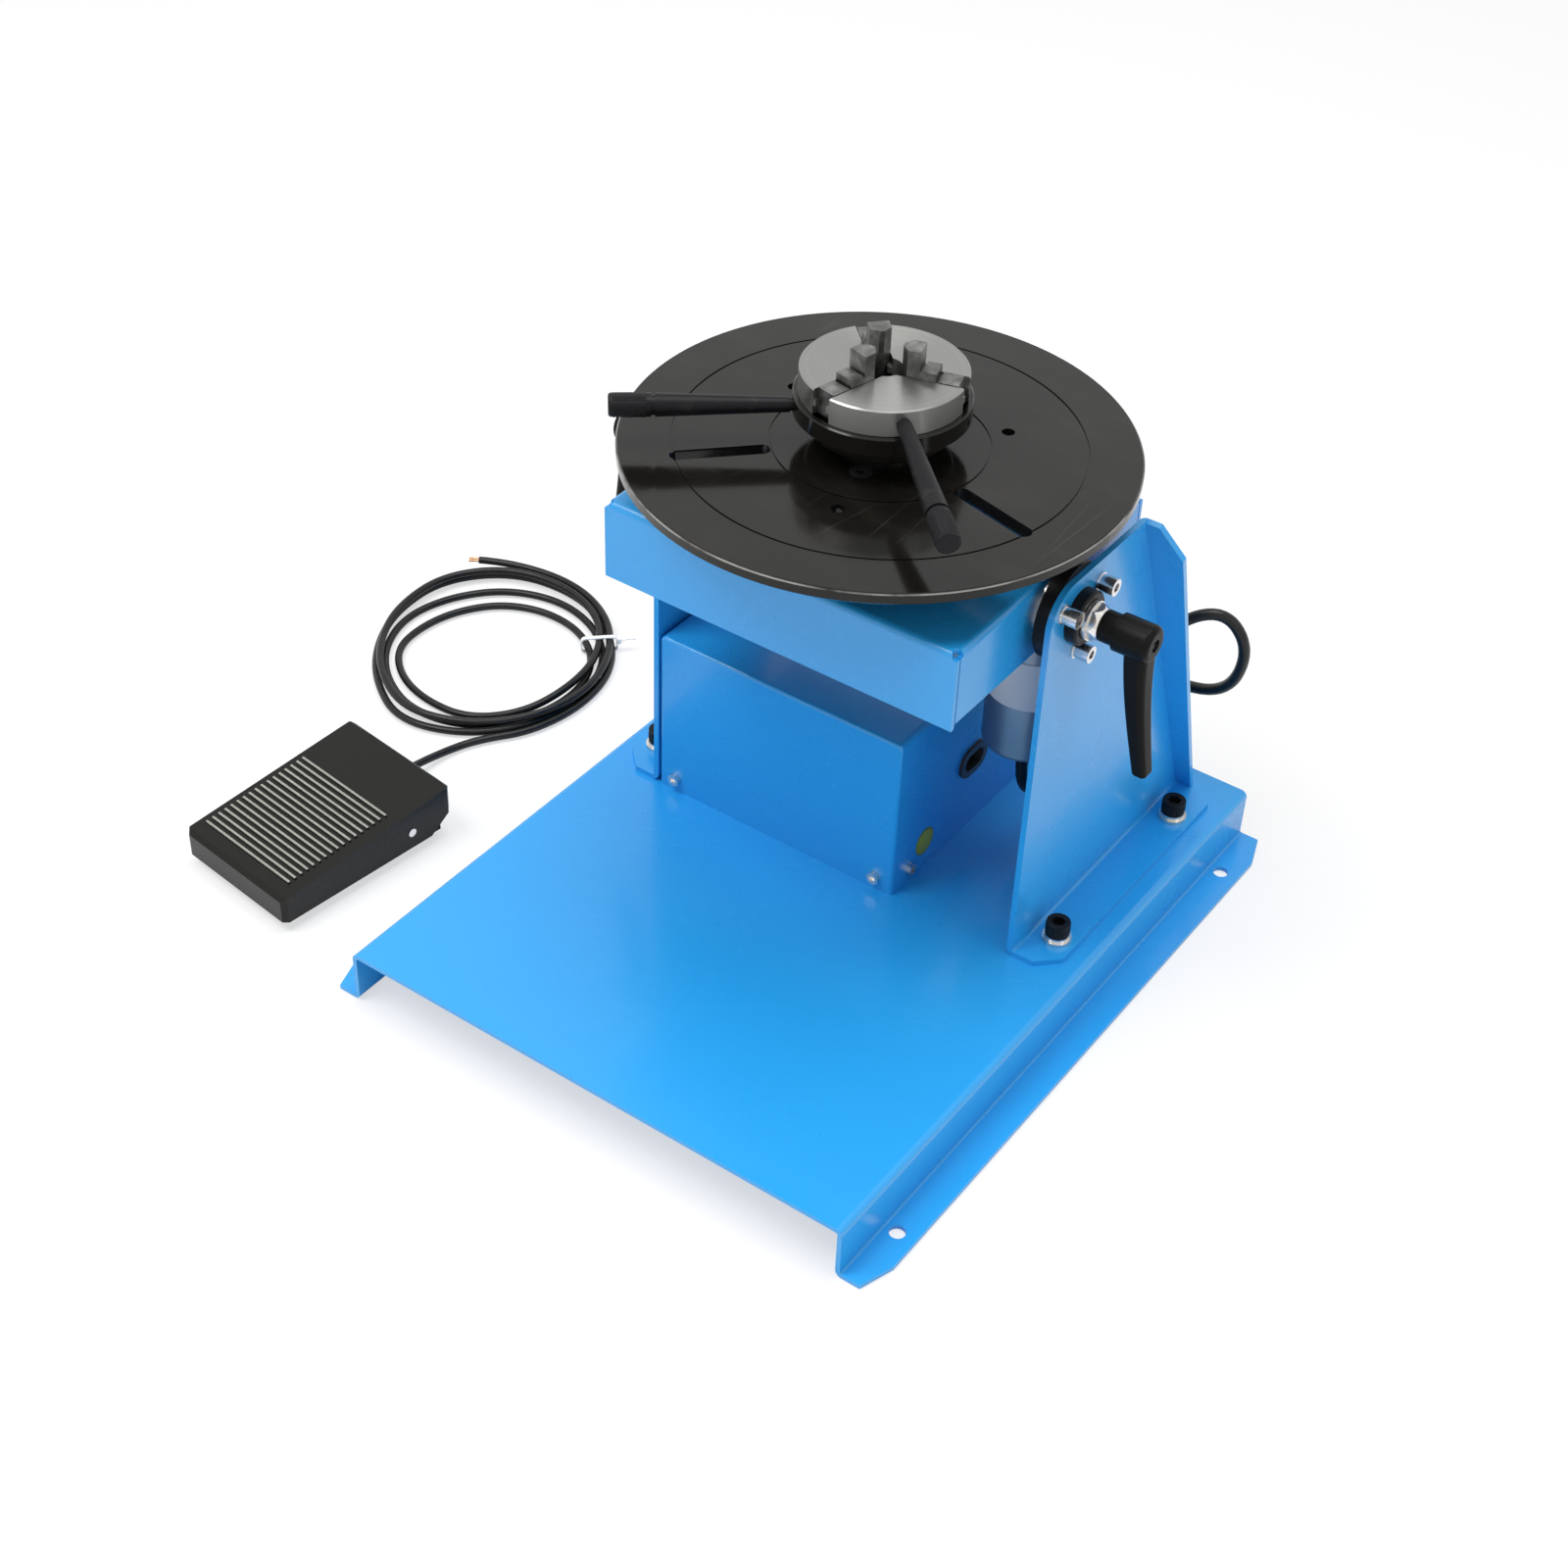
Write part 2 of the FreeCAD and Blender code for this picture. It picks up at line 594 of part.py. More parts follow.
def pivot_flange():
    body = rod(PIVOT_FLANGE_R, on_pivot(BRACKET_INNER - PIVOT_FLANGE_T), on_pivot(BRACKET_INNER))
    body = union([body, rod(PIVOT_COLLAR_R, on_pivot(BRACKET_INNER), on_pivot(COLLAR_END))])
    body = chamfer_where(body, 0.8, lambda e: isinstance(e.Curve, Part.Circle)
                         and abs(e.Curve.Center.x - COLLAR_END) < 1e-3)
    cuts = [rod(STUD_R + RUN_FIT, on_pivot(BRACKET_INNER - PIVOT_FLANGE_T - 1), on_pivot(COLLAR_END + 1))]
    for y, z in pivot_screw_places():
        cuts.append(rod(2.0, (BRACKET_INNER - PIVOT_FLANGE_T - 1, y, z), (BRACKET_INNER + 1, y, z)))
    return less(body, cuts)


def pivot_flange_screws():
    pieces = []
    for y, z in pivot_screw_places():
        pieces.append(tube(3.9, 2.1, (BRACKET_OUTER, y, z), (BRACKET_OUTER + 1, y, z)))
        pieces.append(tube(3.3, 2.1, (BRACKET_OUTER + 1, y, z), (BRACKET_OUTER + 3.4, y, z)))
        pieces.append(socket_screw(2, (BRACKET_OUTER + 3.4, y, z), (BRACKET_INNER - PIVOT_FLANGE_T, y, z), 3.5, 4))
    return both_sides(pieces)


def pivot_studs():
    inside = YOKE_SIDE - YOKE_SHEET
    head = hexagon(STUD_HEAD_AF, on_pivot(inside - STUD_HEAD_H), on_pivot(inside))
    body = union([head, rod(STUD_R, on_pivot(inside), on_pivot(STUD_REACH))])
    body = chamfer_where(body, 0.8, lambda e: isinstance(e.Curve, Part.Circle)
                         and abs(e.Curve.Center.x - STUD_REACH) < 1e-3)
    return both_sides([body])


def thrust_washers():
    outer = BRACKET_INNER - PIVOT_FLANGE_T - FACE_GAP
    return both_sides([tube(THRUST_WASHER_R, STUD_R, on_pivot(YOKE_SIDE), on_pivot(outer))])


def stud_nuts():
    washer = tube(STUD_WASHER_R, STUD_R, on_pivot(STUD_WASHER_X), on_pivot(STUD_NUT_X))
    nut = hexagon(STUD_NUT_AF, on_pivot(STUD_NUT_X), on_pivot(STUD_NUT_X + STUD_NUT_T))
    cap = cone(STUD_NUT_AF / 2 + 1.6, STUD_NUT_AF / 2 - 0.4, on_pivot(STUD_NUT_X), on_pivot(STUD_NUT_X + STUD_NUT_T))
    nut = nut.common(cap).cut(rod(STUD_R, on_pivot(STUD_NUT_X - 1), on_pivot(STUD_NUT_X + STUD_NUT_T + 1)))
    return both_sides([washer, nut])


def clamp_lever():
    neck = rod(LEVER_NECK_R, on_pivot(LEVER_X), on_pivot(LEVER_X + LEVER_NECK_L))
    hub = rod(LEVER_HUB_R, on_pivot(LEVER_X + LEVER_NECK_L), on_pivot(LEVER_END))
    centre = LEVER_END - LEVER_ARM_IN
    stations = [(0.0, 0.0), (0.3, 0.12), (0.65, 0.5), (1.0, 1.0)]
    wires = []
    for down, lean in stations:
        width = LEVER_TOP_WIDTH + (LEVER_TIP_WIDTH - LEVER_TOP_WIDTH) * down
        depth = LEVER_TOP_DEPTH + (LEVER_TIP_DEPTH - LEVER_TOP_DEPTH) * down
        wires.append(rounded_rectangle(centre + lean * LEVER_LEAN, PIVOT_Y, PIVOT_Z - down * LEVER_REACH,
                                       depth, width, 0.32 * depth))
    arm = Part.makeLoft(wires, True, False)
    tip_z = PIVOT_Z - LEVER_REACH
    arm = fillet_where(arm, LEVER_TIP_ROUND, lambda e: abs(e.CenterOfMass.z - tip_z) < 1e-3)
    hub = fillet_where(hub, 2.5, lambda e: isinstance(e.Curve, Part.Circle)
                       and abs(e.Curve.Center.x - LEVER_END) < 1e-3)
    body = union([neck, hub, arm])
    return less(body, [rod(LEVER_INSERT_R, on_pivot(LEVER_X - 1), on_pivot(LEVER_X + LEVER_INSERT_L)),
                       rod(LEVER_CAP_R, on_pivot(LEVER_X + LEVER_INSERT_L), on_pivot(LEVER_END + 1))])


def lever_insert():
    """The threaded steel core of a lever and the cap screw that holds the lever on it."""
    core_end = LEVER_X + LEVER_INSERT_L
    core = tube(LEVER_INSERT_R, STUD_R + RUN_FIT, on_pivot(LEVER_X), on_pivot(core_end))
    cap = rod(LEVER_CAP_R, on_pivot(core_end), on_pivot(LEVER_END - 1.0))
    slot = block(LEVER_END - 2.2, LEVER_END, PIVOT_Y - LEVER_CAP_R, PIVOT_Y + LEVER_CAP_R,
                 PIVOT_Z - 0.5, PIVOT_Z + 0.5)
    return Part.makeCompound([core, cap.cut(slot)])


# ---- yoke ---------------------------------------------------------------------------------------------
def standoff_places():
    reach = 22.5
    return [(MOTOR_X + reach * math.cos(math.radians(a)), MOTOR_Y + reach * math.sin(math.radians(a)))
            for a in (-45, 45, 127)]


def tilt_yoke():
    w, d, t = YOKE_WIDTH / 2, YOKE_DEPTH / 2, YOKE_SHEET
    y0, y1 = PIVOT_Y - d, PIVOT_Y + d
    bottom, side_bottom = YOKE_TOP - YOKE_FRONT_DROP, YOKE_TOP - YOKE_SIDE_DROP
    outer = block(-w, w, y0, y1, bottom, YOKE_TOP)
    inner = block(-w + t, w - t, y0 + t, y1 - t, bottom - 1, YOKE_UNDER)

    def top_edge(z):
        return lambda e: abs(e.CenterOfMass.z - z) < 1e-3 and abs(e.Vertexes[0].Z - e.Vertexes[-1].Z) < 1e-3

    outer = fillet_where(outer, YOKE_BEND, top_edge(YOKE_TOP))
    inner = fillet_where(inner, YOKE_BEND - t, top_edge(YOKE_UNDER))
    cuts = [inner,
            rod(HOUSING_R + 0.2, (0, PIVOT_Y, YOKE_UNDER - 1), (0, PIVOT_Y, YOKE_TOP + 1)),
            rod(STUD_R + 0.1, on_pivot(-w - 1), on_pivot(w + 1))]
    for s in (-1, 1):
        x0, x1 = sorted((s * (w + 1), s * (w - t - 0.01)))
        cuts.append(block(x0, x1, y0 + t, y1 - t, bottom - 1, side_bottom))
        for y in (y0 + t, y1 - t - SEAM):
            cuts.append(block(x0, x1, y, y + SEAM, bottom - 1, YOKE_TOP - YOKE_BEND))
        for y in (y0 + t, y1 - t):
            cuts.append(rod(RELIEF_R, (s * (w - t / 2), y, YOKE_TOP - YOKE_BEND), (s * (w - t / 2), y, YOKE_TOP + 1)))
    for turn in (45, 135, 225, 315):
        x, y = polar(HOUSING_SCREW_CIRCLE, turn)
        cuts.append(rod(2.7, (x, y, YOKE_UNDER - 1), (x, y, YOKE_TOP + 1)))
    for x, y in standoff_places():
        cuts.append(rod(2.2, (x, y, YOKE_UNDER - 1), (x, y, YOKE_TOP + 1)))
    return less(outer, cuts)


# ---- spindle and bearings -----------------------------------------------------------------------------
def up(r, z0, z1):
    return rod(r, (0, PIVOT_Y, z0), (0, PIVOT_Y, z1))


def bearing_housing():
    low_top = BEARING_LOW_Z + BEARING_W
    body = union([up(HOUSING_R, BEARING_LOW_Z, SPINDLE_SHOULDER - 0.5),
                  up(HOUSING_FLANGE_R, YOKE_TOP, YOKE_TOP + HOUSING_FLANGE_T)])
    body = fillet_where(body, 1.5, circle_at(YOKE_TOP + HOUSING_FLANGE_T, HOUSING_R))
    cuts = [up(BEARING_OUT_R, BEARING_LOW_Z - 1, low_top), up(HOUSING_LIP_R, low_top - 1, BEARING_HIGH_Z + 1),
            up(BEARING_OUT_R, BEARING_HIGH_Z, SPINDLE_SHOULDER)]
    for turn in (45, 135, 225, 315):
        x, y = polar(HOUSING_SCREW_CIRCLE, turn)
        cuts.append(rod(2.7, (x, y, YOKE_TOP - 1), (x, y, YOKE_TOP + HOUSING_FLANGE_T + 1)))
    return less(body, cuts)


def bearing_outer_rings():
    """Sealed bearings: each outer ring with its two shields, which stop just short of the inner ring."""
    rings = []
    inner = BEARING_OUT_R - BEARING_RING
    shield_in = BEARING_BORE_R + BEARING_RING + 0.3
    for z in (BEARING_LOW_Z, BEARING_HIGH_Z):
        top = z + BEARING_W
        cavity = up(inner, z + SHIELD_T, top - SHIELD_T)
        rings.append(up(BEARING_OUT_R, z, top - 0.5 * (z == BEARING_HIGH_Z)).cut([up(shield_in, z - 1, top + 1), cavity]))
    return Part.makeCompound(rings)


def bearing_inner_rings():
    """Both inner rings and the sleeve that keeps them apart."""
    ring = BEARING_BORE_R + BEARING_RING
    pieces = []
    for r, z0, z1 in ((ring, BEARING_LOW_Z, BEARING_LOW_Z + BEARING_W),
                      (BEARING_BORE_R + 2.0, BEARING_LOW_Z + BEARING_W, BEARING_HIGH_Z),
                      (ring, BEARING_HIGH_Z, SPINDLE_SHOULDER)):
        pieces.append(up(r, z0, z1).cut(up(BEARING_BORE_R, z0 - 1, z1 + 1)))
    return Part.makeCompound(pieces)


def spindle():
    flange_bottom = PLATE_BOTTOM - SPINDLE_FLANGE_T
    body = union([up(BEARING_BORE_R, SPINDLE_BOTTOM, SPINDLE_SHOULDER),
                  up(BEARING_BORE_R + BEARING_RING, SPINDLE_SHOULDER, flange_bottom),
                  up(SPINDLE_FLANGE_R, flange_bottom, PLATE_BOTTOM)])
    cuts = [up(SPINDLE_BORE_R, SPINDLE_BOTTOM - 1, PLATE_BOTTOM + 1)]
    for x, y in plate_screw_places():
        cuts.append(rod(PLATE_SCREW_R, (x, y, flange_bottom - 1), (x, y, PLATE_BOTTOM + 1)))
    return less(body, cuts)


def gear_outline(teeth, x, y, z, first, root_share):
    """Straight-flanked teeth on a pitch circle, with the first tooth centred at the given angle."""
    pitch_r = GEAR_MODULE * teeth / 2
    space = math.pi * GEAR_MODULE / 2
    levels = ((pitch_r - 1.2 * GEAR_MODULE, root_share * space / 2), (pitch_r, (space - BACKLASH) / 2),
              (pitch_r + 0.95 * GEAR_MODULE, 0.27 * space))
    corners = []
    for k in range(teeth):
        middle = math.radians(first + 360.0 * k / teeth)
        flank = [(r, half / r) for r, half in levels]
        for r, half in [(r, -half) for r, half in flank] + [(r, half) for r, half in reversed(flank)]:
            corners.append(V(x + r * math.cos(middle + half), y + r * math.sin(middle + half), z))
    return Part.Face(Part.makePolygon(corners + corners[:1]))


def spindle_gear():
    top = GEAR_BOTTOM + GEAR_W
    first = MOTOR_ANGLE + 180.0 / GEAR_TEETH
    teeth = gear_outline(GEAR_TEETH, 0, PIVOT_Y, GEAR_BOTTOM, first, 1.25).extrude(V(0, 0, GEAR_W))
    body = union([teeth, up(BEARING_BORE_R + BEARING_RING, top, BEARING_LOW_Z)])
    cuts = [up(BEARING_BORE_R, GEAR_BOTTOM - 1, BEARING_LOW_Z + 1)]
    window_circle = (GEAR_HUB_R + GEAR_R - 2 * GEAR_MODULE) / 2
    for k in range(GEAR_WINDOWS):
        x, y = polar(window_circle, 360.0 * k / GEAR_WINDOWS)
        cuts.append(rod(GEAR_WINDOW_R, (x, y, GEAR_BOTTOM - 1), (x, y, top + 1)))
    return less(body, cuts)


def spindle_locknut():
    bottom = GEAR_BOTTOM - LOCKNUT_T
    body = up(LOCKNUT_R, bottom, GEAR_BOTTOM).cut(up(BEARING_BORE_R, bottom - 1, GEAR_BOTTOM + 1))
    notches = []
    for turn in (0, 90):
        bar = block(-LOCKNUT_R - 1, LOCKNUT_R + 1, PIVOT_Y - 2, PIVOT_Y + 2, bottom - 1, GEAR_BOTTOM + 1)
        bar.rotate(V(0, PIVOT_Y, 0), V(0, 0, 1), turn)
        notches.append(bar.cut(up(LOCKNUT_R - 2, bottom - 2, GEAR_BOTTOM + 2)))
    return less(body, notches)


# ---- drive --------------------------------------------------------------------------------------------
def at_motor(r, z0, z1):
    return rod(r, (MOTOR_X, MOTOR_Y, z0), (MOTOR_X, MOTOR_Y, z1))


def motor_plate():
    """A plate round the gearbox with an ear under each standoff."""
    z0, z1 = MOTOR_PLATE_TOP - MOTOR_PLATE_T, MOTOR_PLATE_TOP
    pieces = [at_motor(GEARBOX_R + 0.5, z0, z1)]
    for x, y in standoff_places():
        pieces.append(rod(STANDOFF_R + 1.2, (x, y, z0), (x, y, z1)))
    body = union(pieces)
    cuts = [at_motor(6.0, z0 - 1, z1 + 1)]
    for x, y in standoff_places():
        cuts.append(rod(2.2, (x, y, z0 - 1), (x, y, z1 + 1)))
    return less(body, cuts)


def head_fasteners():
    """Housing screws with their nuts, and the motor standoffs with their screws."""
    pieces = []
    seat = YOKE_TOP + HOUSING_FLANGE_T
    for turn in (45, 135, 225, 315):
        x, y = polar(HOUSING_SCREW_CIRCLE, turn)
        pieces.append(socket_screw(2.5, (x, y, seat), (x, y, YOKE_UNDER - 6), 4.2, 4.5))
        nut = hexagon(8, (x, y, YOKE_UNDER - 4), (x, y, YOKE_UNDER))
        pieces.append(nut.cut(rod(2.5, (x, y, YOKE_UNDER - 5), (x, y, YOKE_UNDER + 1))))
    low = MOTOR_PLATE_TOP - MOTOR_PLATE_T
    for x, y in standoff_places():
        standoff = rod(STANDOFF_R, (x, y, MOTOR_PLATE_TOP), (x, y, YOKE_UNDER))
        standoff = standoff.cut([rod(2.0, (x, y, MOTOR_PLATE_TOP - 1), (x, y, MOTOR_PLATE_TOP + 8)),
                                 rod(2.0, (x, y, YOKE_UNDER - 8), (x, y, YOKE_UNDER + 1))])
        pieces.append(standoff)
        pieces.append(socket_screw(2, (x, y, YOKE_TOP), (x, y, YOKE_UNDER - 6), 3.6, 2.4))
        pieces.append(socket_screw(2, (x, y, low), (x, y, MOTOR_PLATE_TOP + 6), 3.6, 2.4))
    return Part.makeCompound(pieces)


def gearbox():
    z1 = MOTOR_PLATE_TOP - MOTOR_PLATE_T
    body = union([at_motor(GEARBOX_R, MOTOR_TOP, z1), at_motor(6.0, z1, z1 + MOTOR_PLATE_T)])
    groove = at_motor(GEARBOX_R + 1, MOTOR_TOP + 5, MOTOR_TOP + 5.8).cut(
        at_motor(GEARBOX_R - 0.6, MOTOR_TOP + 4, MOTOR_TOP + 7))
    return less(body, [at_motor(MOTOR_SHAFT_R + RUN_FIT, z1 - 8, z1 + MOTOR_PLATE_T + 1), groove])


def motor_can():
    body = at_motor(MOTOR_R, MOTOR_TAIL, MOTOR_TOP)
    body = fillet_where(body, 2.0, circle_at(MOTOR_TAIL, MOTOR_R))
    vents = []
    for k in range(2):
        x = MOTOR_X + (2 * k - 1) * 11
        vents.append(block(x - 1.5, x + 1.5, MOTOR_Y - 5, MOTOR_Y + 5, MOTOR_TAIL - 1, MOTOR_TAIL + 1.5))
    return less(body, vents)


def motor_end_cap():
    """The brush cap on the tail, with the boss that the motor cable enters."""
    cap = at_motor(MOTOR_CAP_R, MOTOR_TAIL - MOTOR_CAP_L, MOTOR_TAIL)
    cap = chamfer_where(cap, 1.0, circle_at(MOTOR_TAIL - MOTOR_CAP_L, MOTOR_CAP_R))
    return union([cap, at_motor(CABLE_R + 1.4, MOTOR_TAIL - MOTOR_CAP_L - 5, MOTOR_TAIL - MOTOR_CAP_L)])


def motor_pinion():
    z0 = MOTOR_PLATE_TOP - MOTOR_PLATE_T - 7
    teeth = gear_outline(PINION_TEETH, MOTOR_X, MOTOR_Y, GEAR_BOTTOM, MOTOR_ANGLE + 180, 1.05)
    return union([teeth.extrude(V(0, 0, GEAR_W)), at_motor(MOTOR_SHAFT_R, z0, GEAR_BOTTOM + GEAR_W + 2)])


# ---- faceplate ----------------------------------------------------------------------------------------
def plate_screw_places():
    return [polar(PLATE_SCREW_CIRCLE, a + HOLE_TURN) for a in SLOT_ANGLES]


def faceplate():
    body = up(PLATE_R, PLATE_BOTTOM, PLATE_TOP)
    body = chamfer_where(body, PLATE_EDGE, circle_at(PLATE_TOP, PLATE_R))
    body = chamfer_where(body, PLATE_EDGE, circle_at(PLATE_BOTTOM, PLATE_R))
    cuts = [up(CHUCK_BORE_R, PLATE_BOTTOM - 1, PLATE_TOP + 1)]
    for r in GROOVE_RADII:
        ring = up(r + GROOVE_W / 2, PLATE_TOP - GROOVE_DEPTH, PLATE_TOP + 1)
        cuts.append(ring.cut(up(r - GROOVE_W / 2, PLATE_TOP - GROOVE_DEPTH - 1, PLATE_TOP + 2)))
    for a in SLOT_ANGLES:
        r = SLOT_W / 2
        slot = block(SLOT_INNER + r, SLOT_OUTER - r, PIVOT_Y - r, PIVOT_Y + r, PLATE_BOTTOM - 1, PLATE_TOP + 1)
        slot.rotate(V(0, PIVOT_Y, 0), V(0, 0, 1), a)
        cuts.append(slot)
        for end in (SLOT_INNER + r, SLOT_OUTER - r):
            x, y = polar(end, a)
            cuts.append(rod(r, (x, y, PLATE_BOTTOM - 1), (x, y, PLATE_TOP + 1)))
        x, y = polar(PLATE_HOLE_CIRCLE, a + HOLE_TURN)
        cuts.append(rod(PLATE_HOLE_R, (x, y, PLATE_BOTTOM - 1), (x, y, PLATE_TOP + 1)))
        x, y = polar(CHUCK_SCREW_CIRCLE, a)
        cuts.append(rod(CHUCK_SCREW_R, (x, y, PLATE_BOTTOM - 1), (x, y, PLATE_TOP + 1)))
        cuts.append(rod(2 * CHUCK_SCREW_R, (x, y, PLATE_BOTTOM - 1), (x, y, PLATE_BOTTOM + 2.4)))
    for x, y in plate_screw_places():
        cuts.append(rod(PLATE_SCREW_R, (x, y, PLATE_BOTTOM - 1), (x, y, PLATE_TOP + 1)))
        sink = PLATE_SCREW_HEAD_R - PLATE_SCREW_R
        cuts.append(cone(PLATE_SCREW_R, PLATE_SCREW_HEAD_R, (x, y, PLATE_TOP - sink), (x, y, PLATE_TOP)))
    return less(body, cuts)


def faceplate_screws():
    """Countersunk screws into the spindle flange, and the screws that hold the chuck from below."""
    pieces = []
    sink = PLATE_SCREW_HEAD_R - PLATE_SCREW_R
    for x, y in plate_screw_places():
        head = cone(PLATE_SCREW_R, PLATE_SCREW_HEAD_R, (x, y, PLATE_TOP - sink), (x, y, PLATE_TOP))
        shank = rod(PLATE_SCREW_R, (x, y, PLATE_BOTTOM - SPINDLE_FLANGE_T), (x, y, PLATE_TOP - sink))
        screw = union([head, shank])
        pieces.append(screw.cut(hexagon(3.0, (x, y, PLATE_TOP - 1.6), (x, y, PLATE_TOP + 1))))
    for a in SLOT_ANGLES:
        x, y = polar(CHUCK_SCREW_CIRCLE, a)
        tip = CHUCK_BOTTOM - CHUCK_STEP_H + 2.5
        pieces.append(union([rod(2 * CHUCK_SCREW_R, (x, y, PLATE_BOTTOM), (x, y, PLATE_BOTTOM + 2.4)),
                             rod(CHUCK_SCREW_R, (x, y, PLATE_BOTTOM + 2.4), (x, y, tip))]))
    return Part.makeCompound(pieces)


# ---- chuck --------------------------------------------------------------------------------------------
def chuck_back_plate():
    z1 = PLATE_TOP + NECK_H
    body = union([up(NECK_R, PLATE_TOP, z1), up(BACK_R, z1, z1 + BACK_H)])
    body = chamfer_where(body, 0.8, circle_at(z1, BACK_R))
    cuts = [up(CHUCK_BORE_R, PLATE_TOP - 1, z1 + BACK_H + 1)]
    for a in SLOT_ANGLES:
        x, y = polar(CHUCK_SCREW_CIRCLE, a)
        cuts.append(rod(CHUCK_SCREW_R, (x, y, PLATE_TOP - 1), (x, y, z1 + BACK_H + 1)))
    return less(body, cuts)


def scroll_radius(turns):
    return SCROLL_START + SCROLL_PITCH * turns


def scroll_thread():
    """The spiral thread on top of the ring, drawn with an arc for every eighth of a turn."""
    half = SCROLL_WALL / 2
    z = RING_TOP - SCROLL_DEPTH

    def spot(turns, offset):
        r = scroll_radius(turns) + offset
        a = 2 * math.pi * turns
        return V(r * math.cos(a), PIVOT_Y + r * math.sin(a), z)

    steps = int(round(8 * SCROLL_TURNS))
    sides = []
    for offset in (half, -half):
        arcs = [Part.Arc(spot(k / 8, offset), spot((k + 0.5) / 8, offset), spot((k + 1) / 8, offset)).toShape()
                for k in range(steps)]
        sides.append(arcs)
    ends = [Part.LineSegment(spot(t, half), spot(t, -half)).toShape() for t in (0, steps / 8)]
    wire = Part.Wire(Part.__sortEdges__(sides[0] + sides[1] + ends))
    return Part.Face(wire).extrude(V(0, 0, SCROLL_DEPTH))


def bar_hole(bar_angle, z, r_rim, droop):
    """The axis of a bar: a point on the rim, and the unit direction outwards."""
    a = math.radians(bar_angle)
    d = math.radians(droop)
    rim = V(r_rim * math.cos(a), PIVOT_Y + r_rim * math.sin(a), z)
    out = V(math.cos(a) * math.cos(d), math.sin(a) * math.cos(d), -math.sin(d))
    return rim, out


def scroll_ring():
    floor = RING_TOP - SCROLL_DEPTH
    rim_z = RING_BOTTOM + RING_STEP_H
    body = union([up(RING_STEP_R, RING_BOTTOM, rim_z), up(RING_R, rim_z, RING_TOP)])
    body = chamfer_where(body, 0.5, circle_at(RING_TOP, RING_R))
    lip = up(RING_STEP_R, floor, RING_TOP + 1).cut(up(CHUCK_STEP_R + 0.4, floor - 1, RING_TOP + 2))
    recess = up(CHUCK_STEP_R + 0.4, RING_TOP - CHUCK_STEP_H - 0.1, RING_TOP + 1)
    body = less(body, [lip, recess, up(CHUCK_HUB_R + RUN_FIT, RING_BOTTOM - 1, RING_TOP + 1)])
    body = union([body, scroll_thread().common(up(RING_STEP_R + 0.2, floor, RING_TOP))])
    rim, out = bar_hole(RING_BAR_ANGLE, ring_bar_z(), RING_R, 0)
    return less(body, [rod(BAR_PIN_R, tuple(rim - out * BAR_PIN_L), tuple(rim + out * 2))])


def ring_bar_z():
    return RING_BOTTOM + RING_STEP_H / 2 + BAR_PIN_R + 0.4


def body_bar_z():
    return CHUCK_BOTTOM + CHUCK_H / 2 - 0.4


def lever_bar(rim, out):
    """A tapered bar: its pin in the hole, then the taper, a groove and the straight grip."""
    s = [rim + out * k for k in (-BAR_PIN_L, 0.0, 0.0, BAR_TAPER_L, BAR_TAPER_L + 1.5)]
    end = rim + out * (BAR_TAPER_L + 1.5 + BAR_GRIP_L)
    grip = rod(BAR_END_R, tuple(s[4]), tuple(end))
    grip = chamfer_where(grip, 0.7, lambda e: isinstance(e.Curve, Part.Circle)
                         and (e.Curve.Center - end).Length < 1e-3)
    start = rim + out * 0.8
    return union([rod(BAR_PIN_R, tuple(s[0]), tuple(start)), cone(BAR_ROOT_R, BAR_END_R, tuple(start), tuple(s[3])),
                  rod(BAR_NECK_R, tuple(s[3]), tuple(s[4])), grip])


def chuck_body():
    body = union([up(CHUCK_R, CHUCK_BOTTOM, CHUCK_TOP),
                  up(CHUCK_STEP_R, CHUCK_BOTTOM - CHUCK_STEP_H + 0.1, CHUCK_BOTTOM),
                  up(CHUCK_HUB_R, RING_BOTTOM - 0.2, CHUCK_BOTTOM)])
    body = chamfer_where(body, CHUCK_EDGE, circle_at(CHUCK_TOP, CHUCK_R))
    cuts = [up(CHUCK_BORE_R, RING_BOTTOM - 1, CHUCK_TOP + 1)]
    half = JAW_W / 2 + JAW_SIDE
    rail_z0, rail_z1 = rail_span()
    for a in JAW_ANGLES:
        for z0, z1, h in ((CHUCK_BOTTOM, rail_z0, half), (rail_z0, rail_z1, half - RAIL_IN),
                          (rail_z1, CHUCK_TOP + 1, half)):
            slot = block(0, CHUCK_R + 2, PIVOT_Y - h, PIVOT_Y + h, z0, z1)
            slot.rotate(V(0, PIVOT_Y, 0), V(0, 0, 1), a)
            cuts.append(slot)
    for a in SLOT_ANGLES:
        x, y = polar(CHUCK_SCREW_CIRCLE, a)
        tip = CHUCK_BOTTOM - CHUCK_STEP_H + 2.5
        cuts.append(rod(CHUCK_SCREW_R, (x, y, RING_BOTTOM - 1), (x, y, tip)))
    rim, out = bar_hole(BODY_BAR_ANGLE, body_bar_z(), CHUCK_R, BAR_DROOP)
    cuts.append(rod(BAR_PIN_R, tuple(rim - out * BAR_PIN_L), tuple(rim + out * 2)))
    return less(body, cuts)


def rail_span():
    middle = CHUCK_BOTTOM + CHUCK_H / 2
    return middle - RAIL_W / 2, middle + RAIL_W / 2


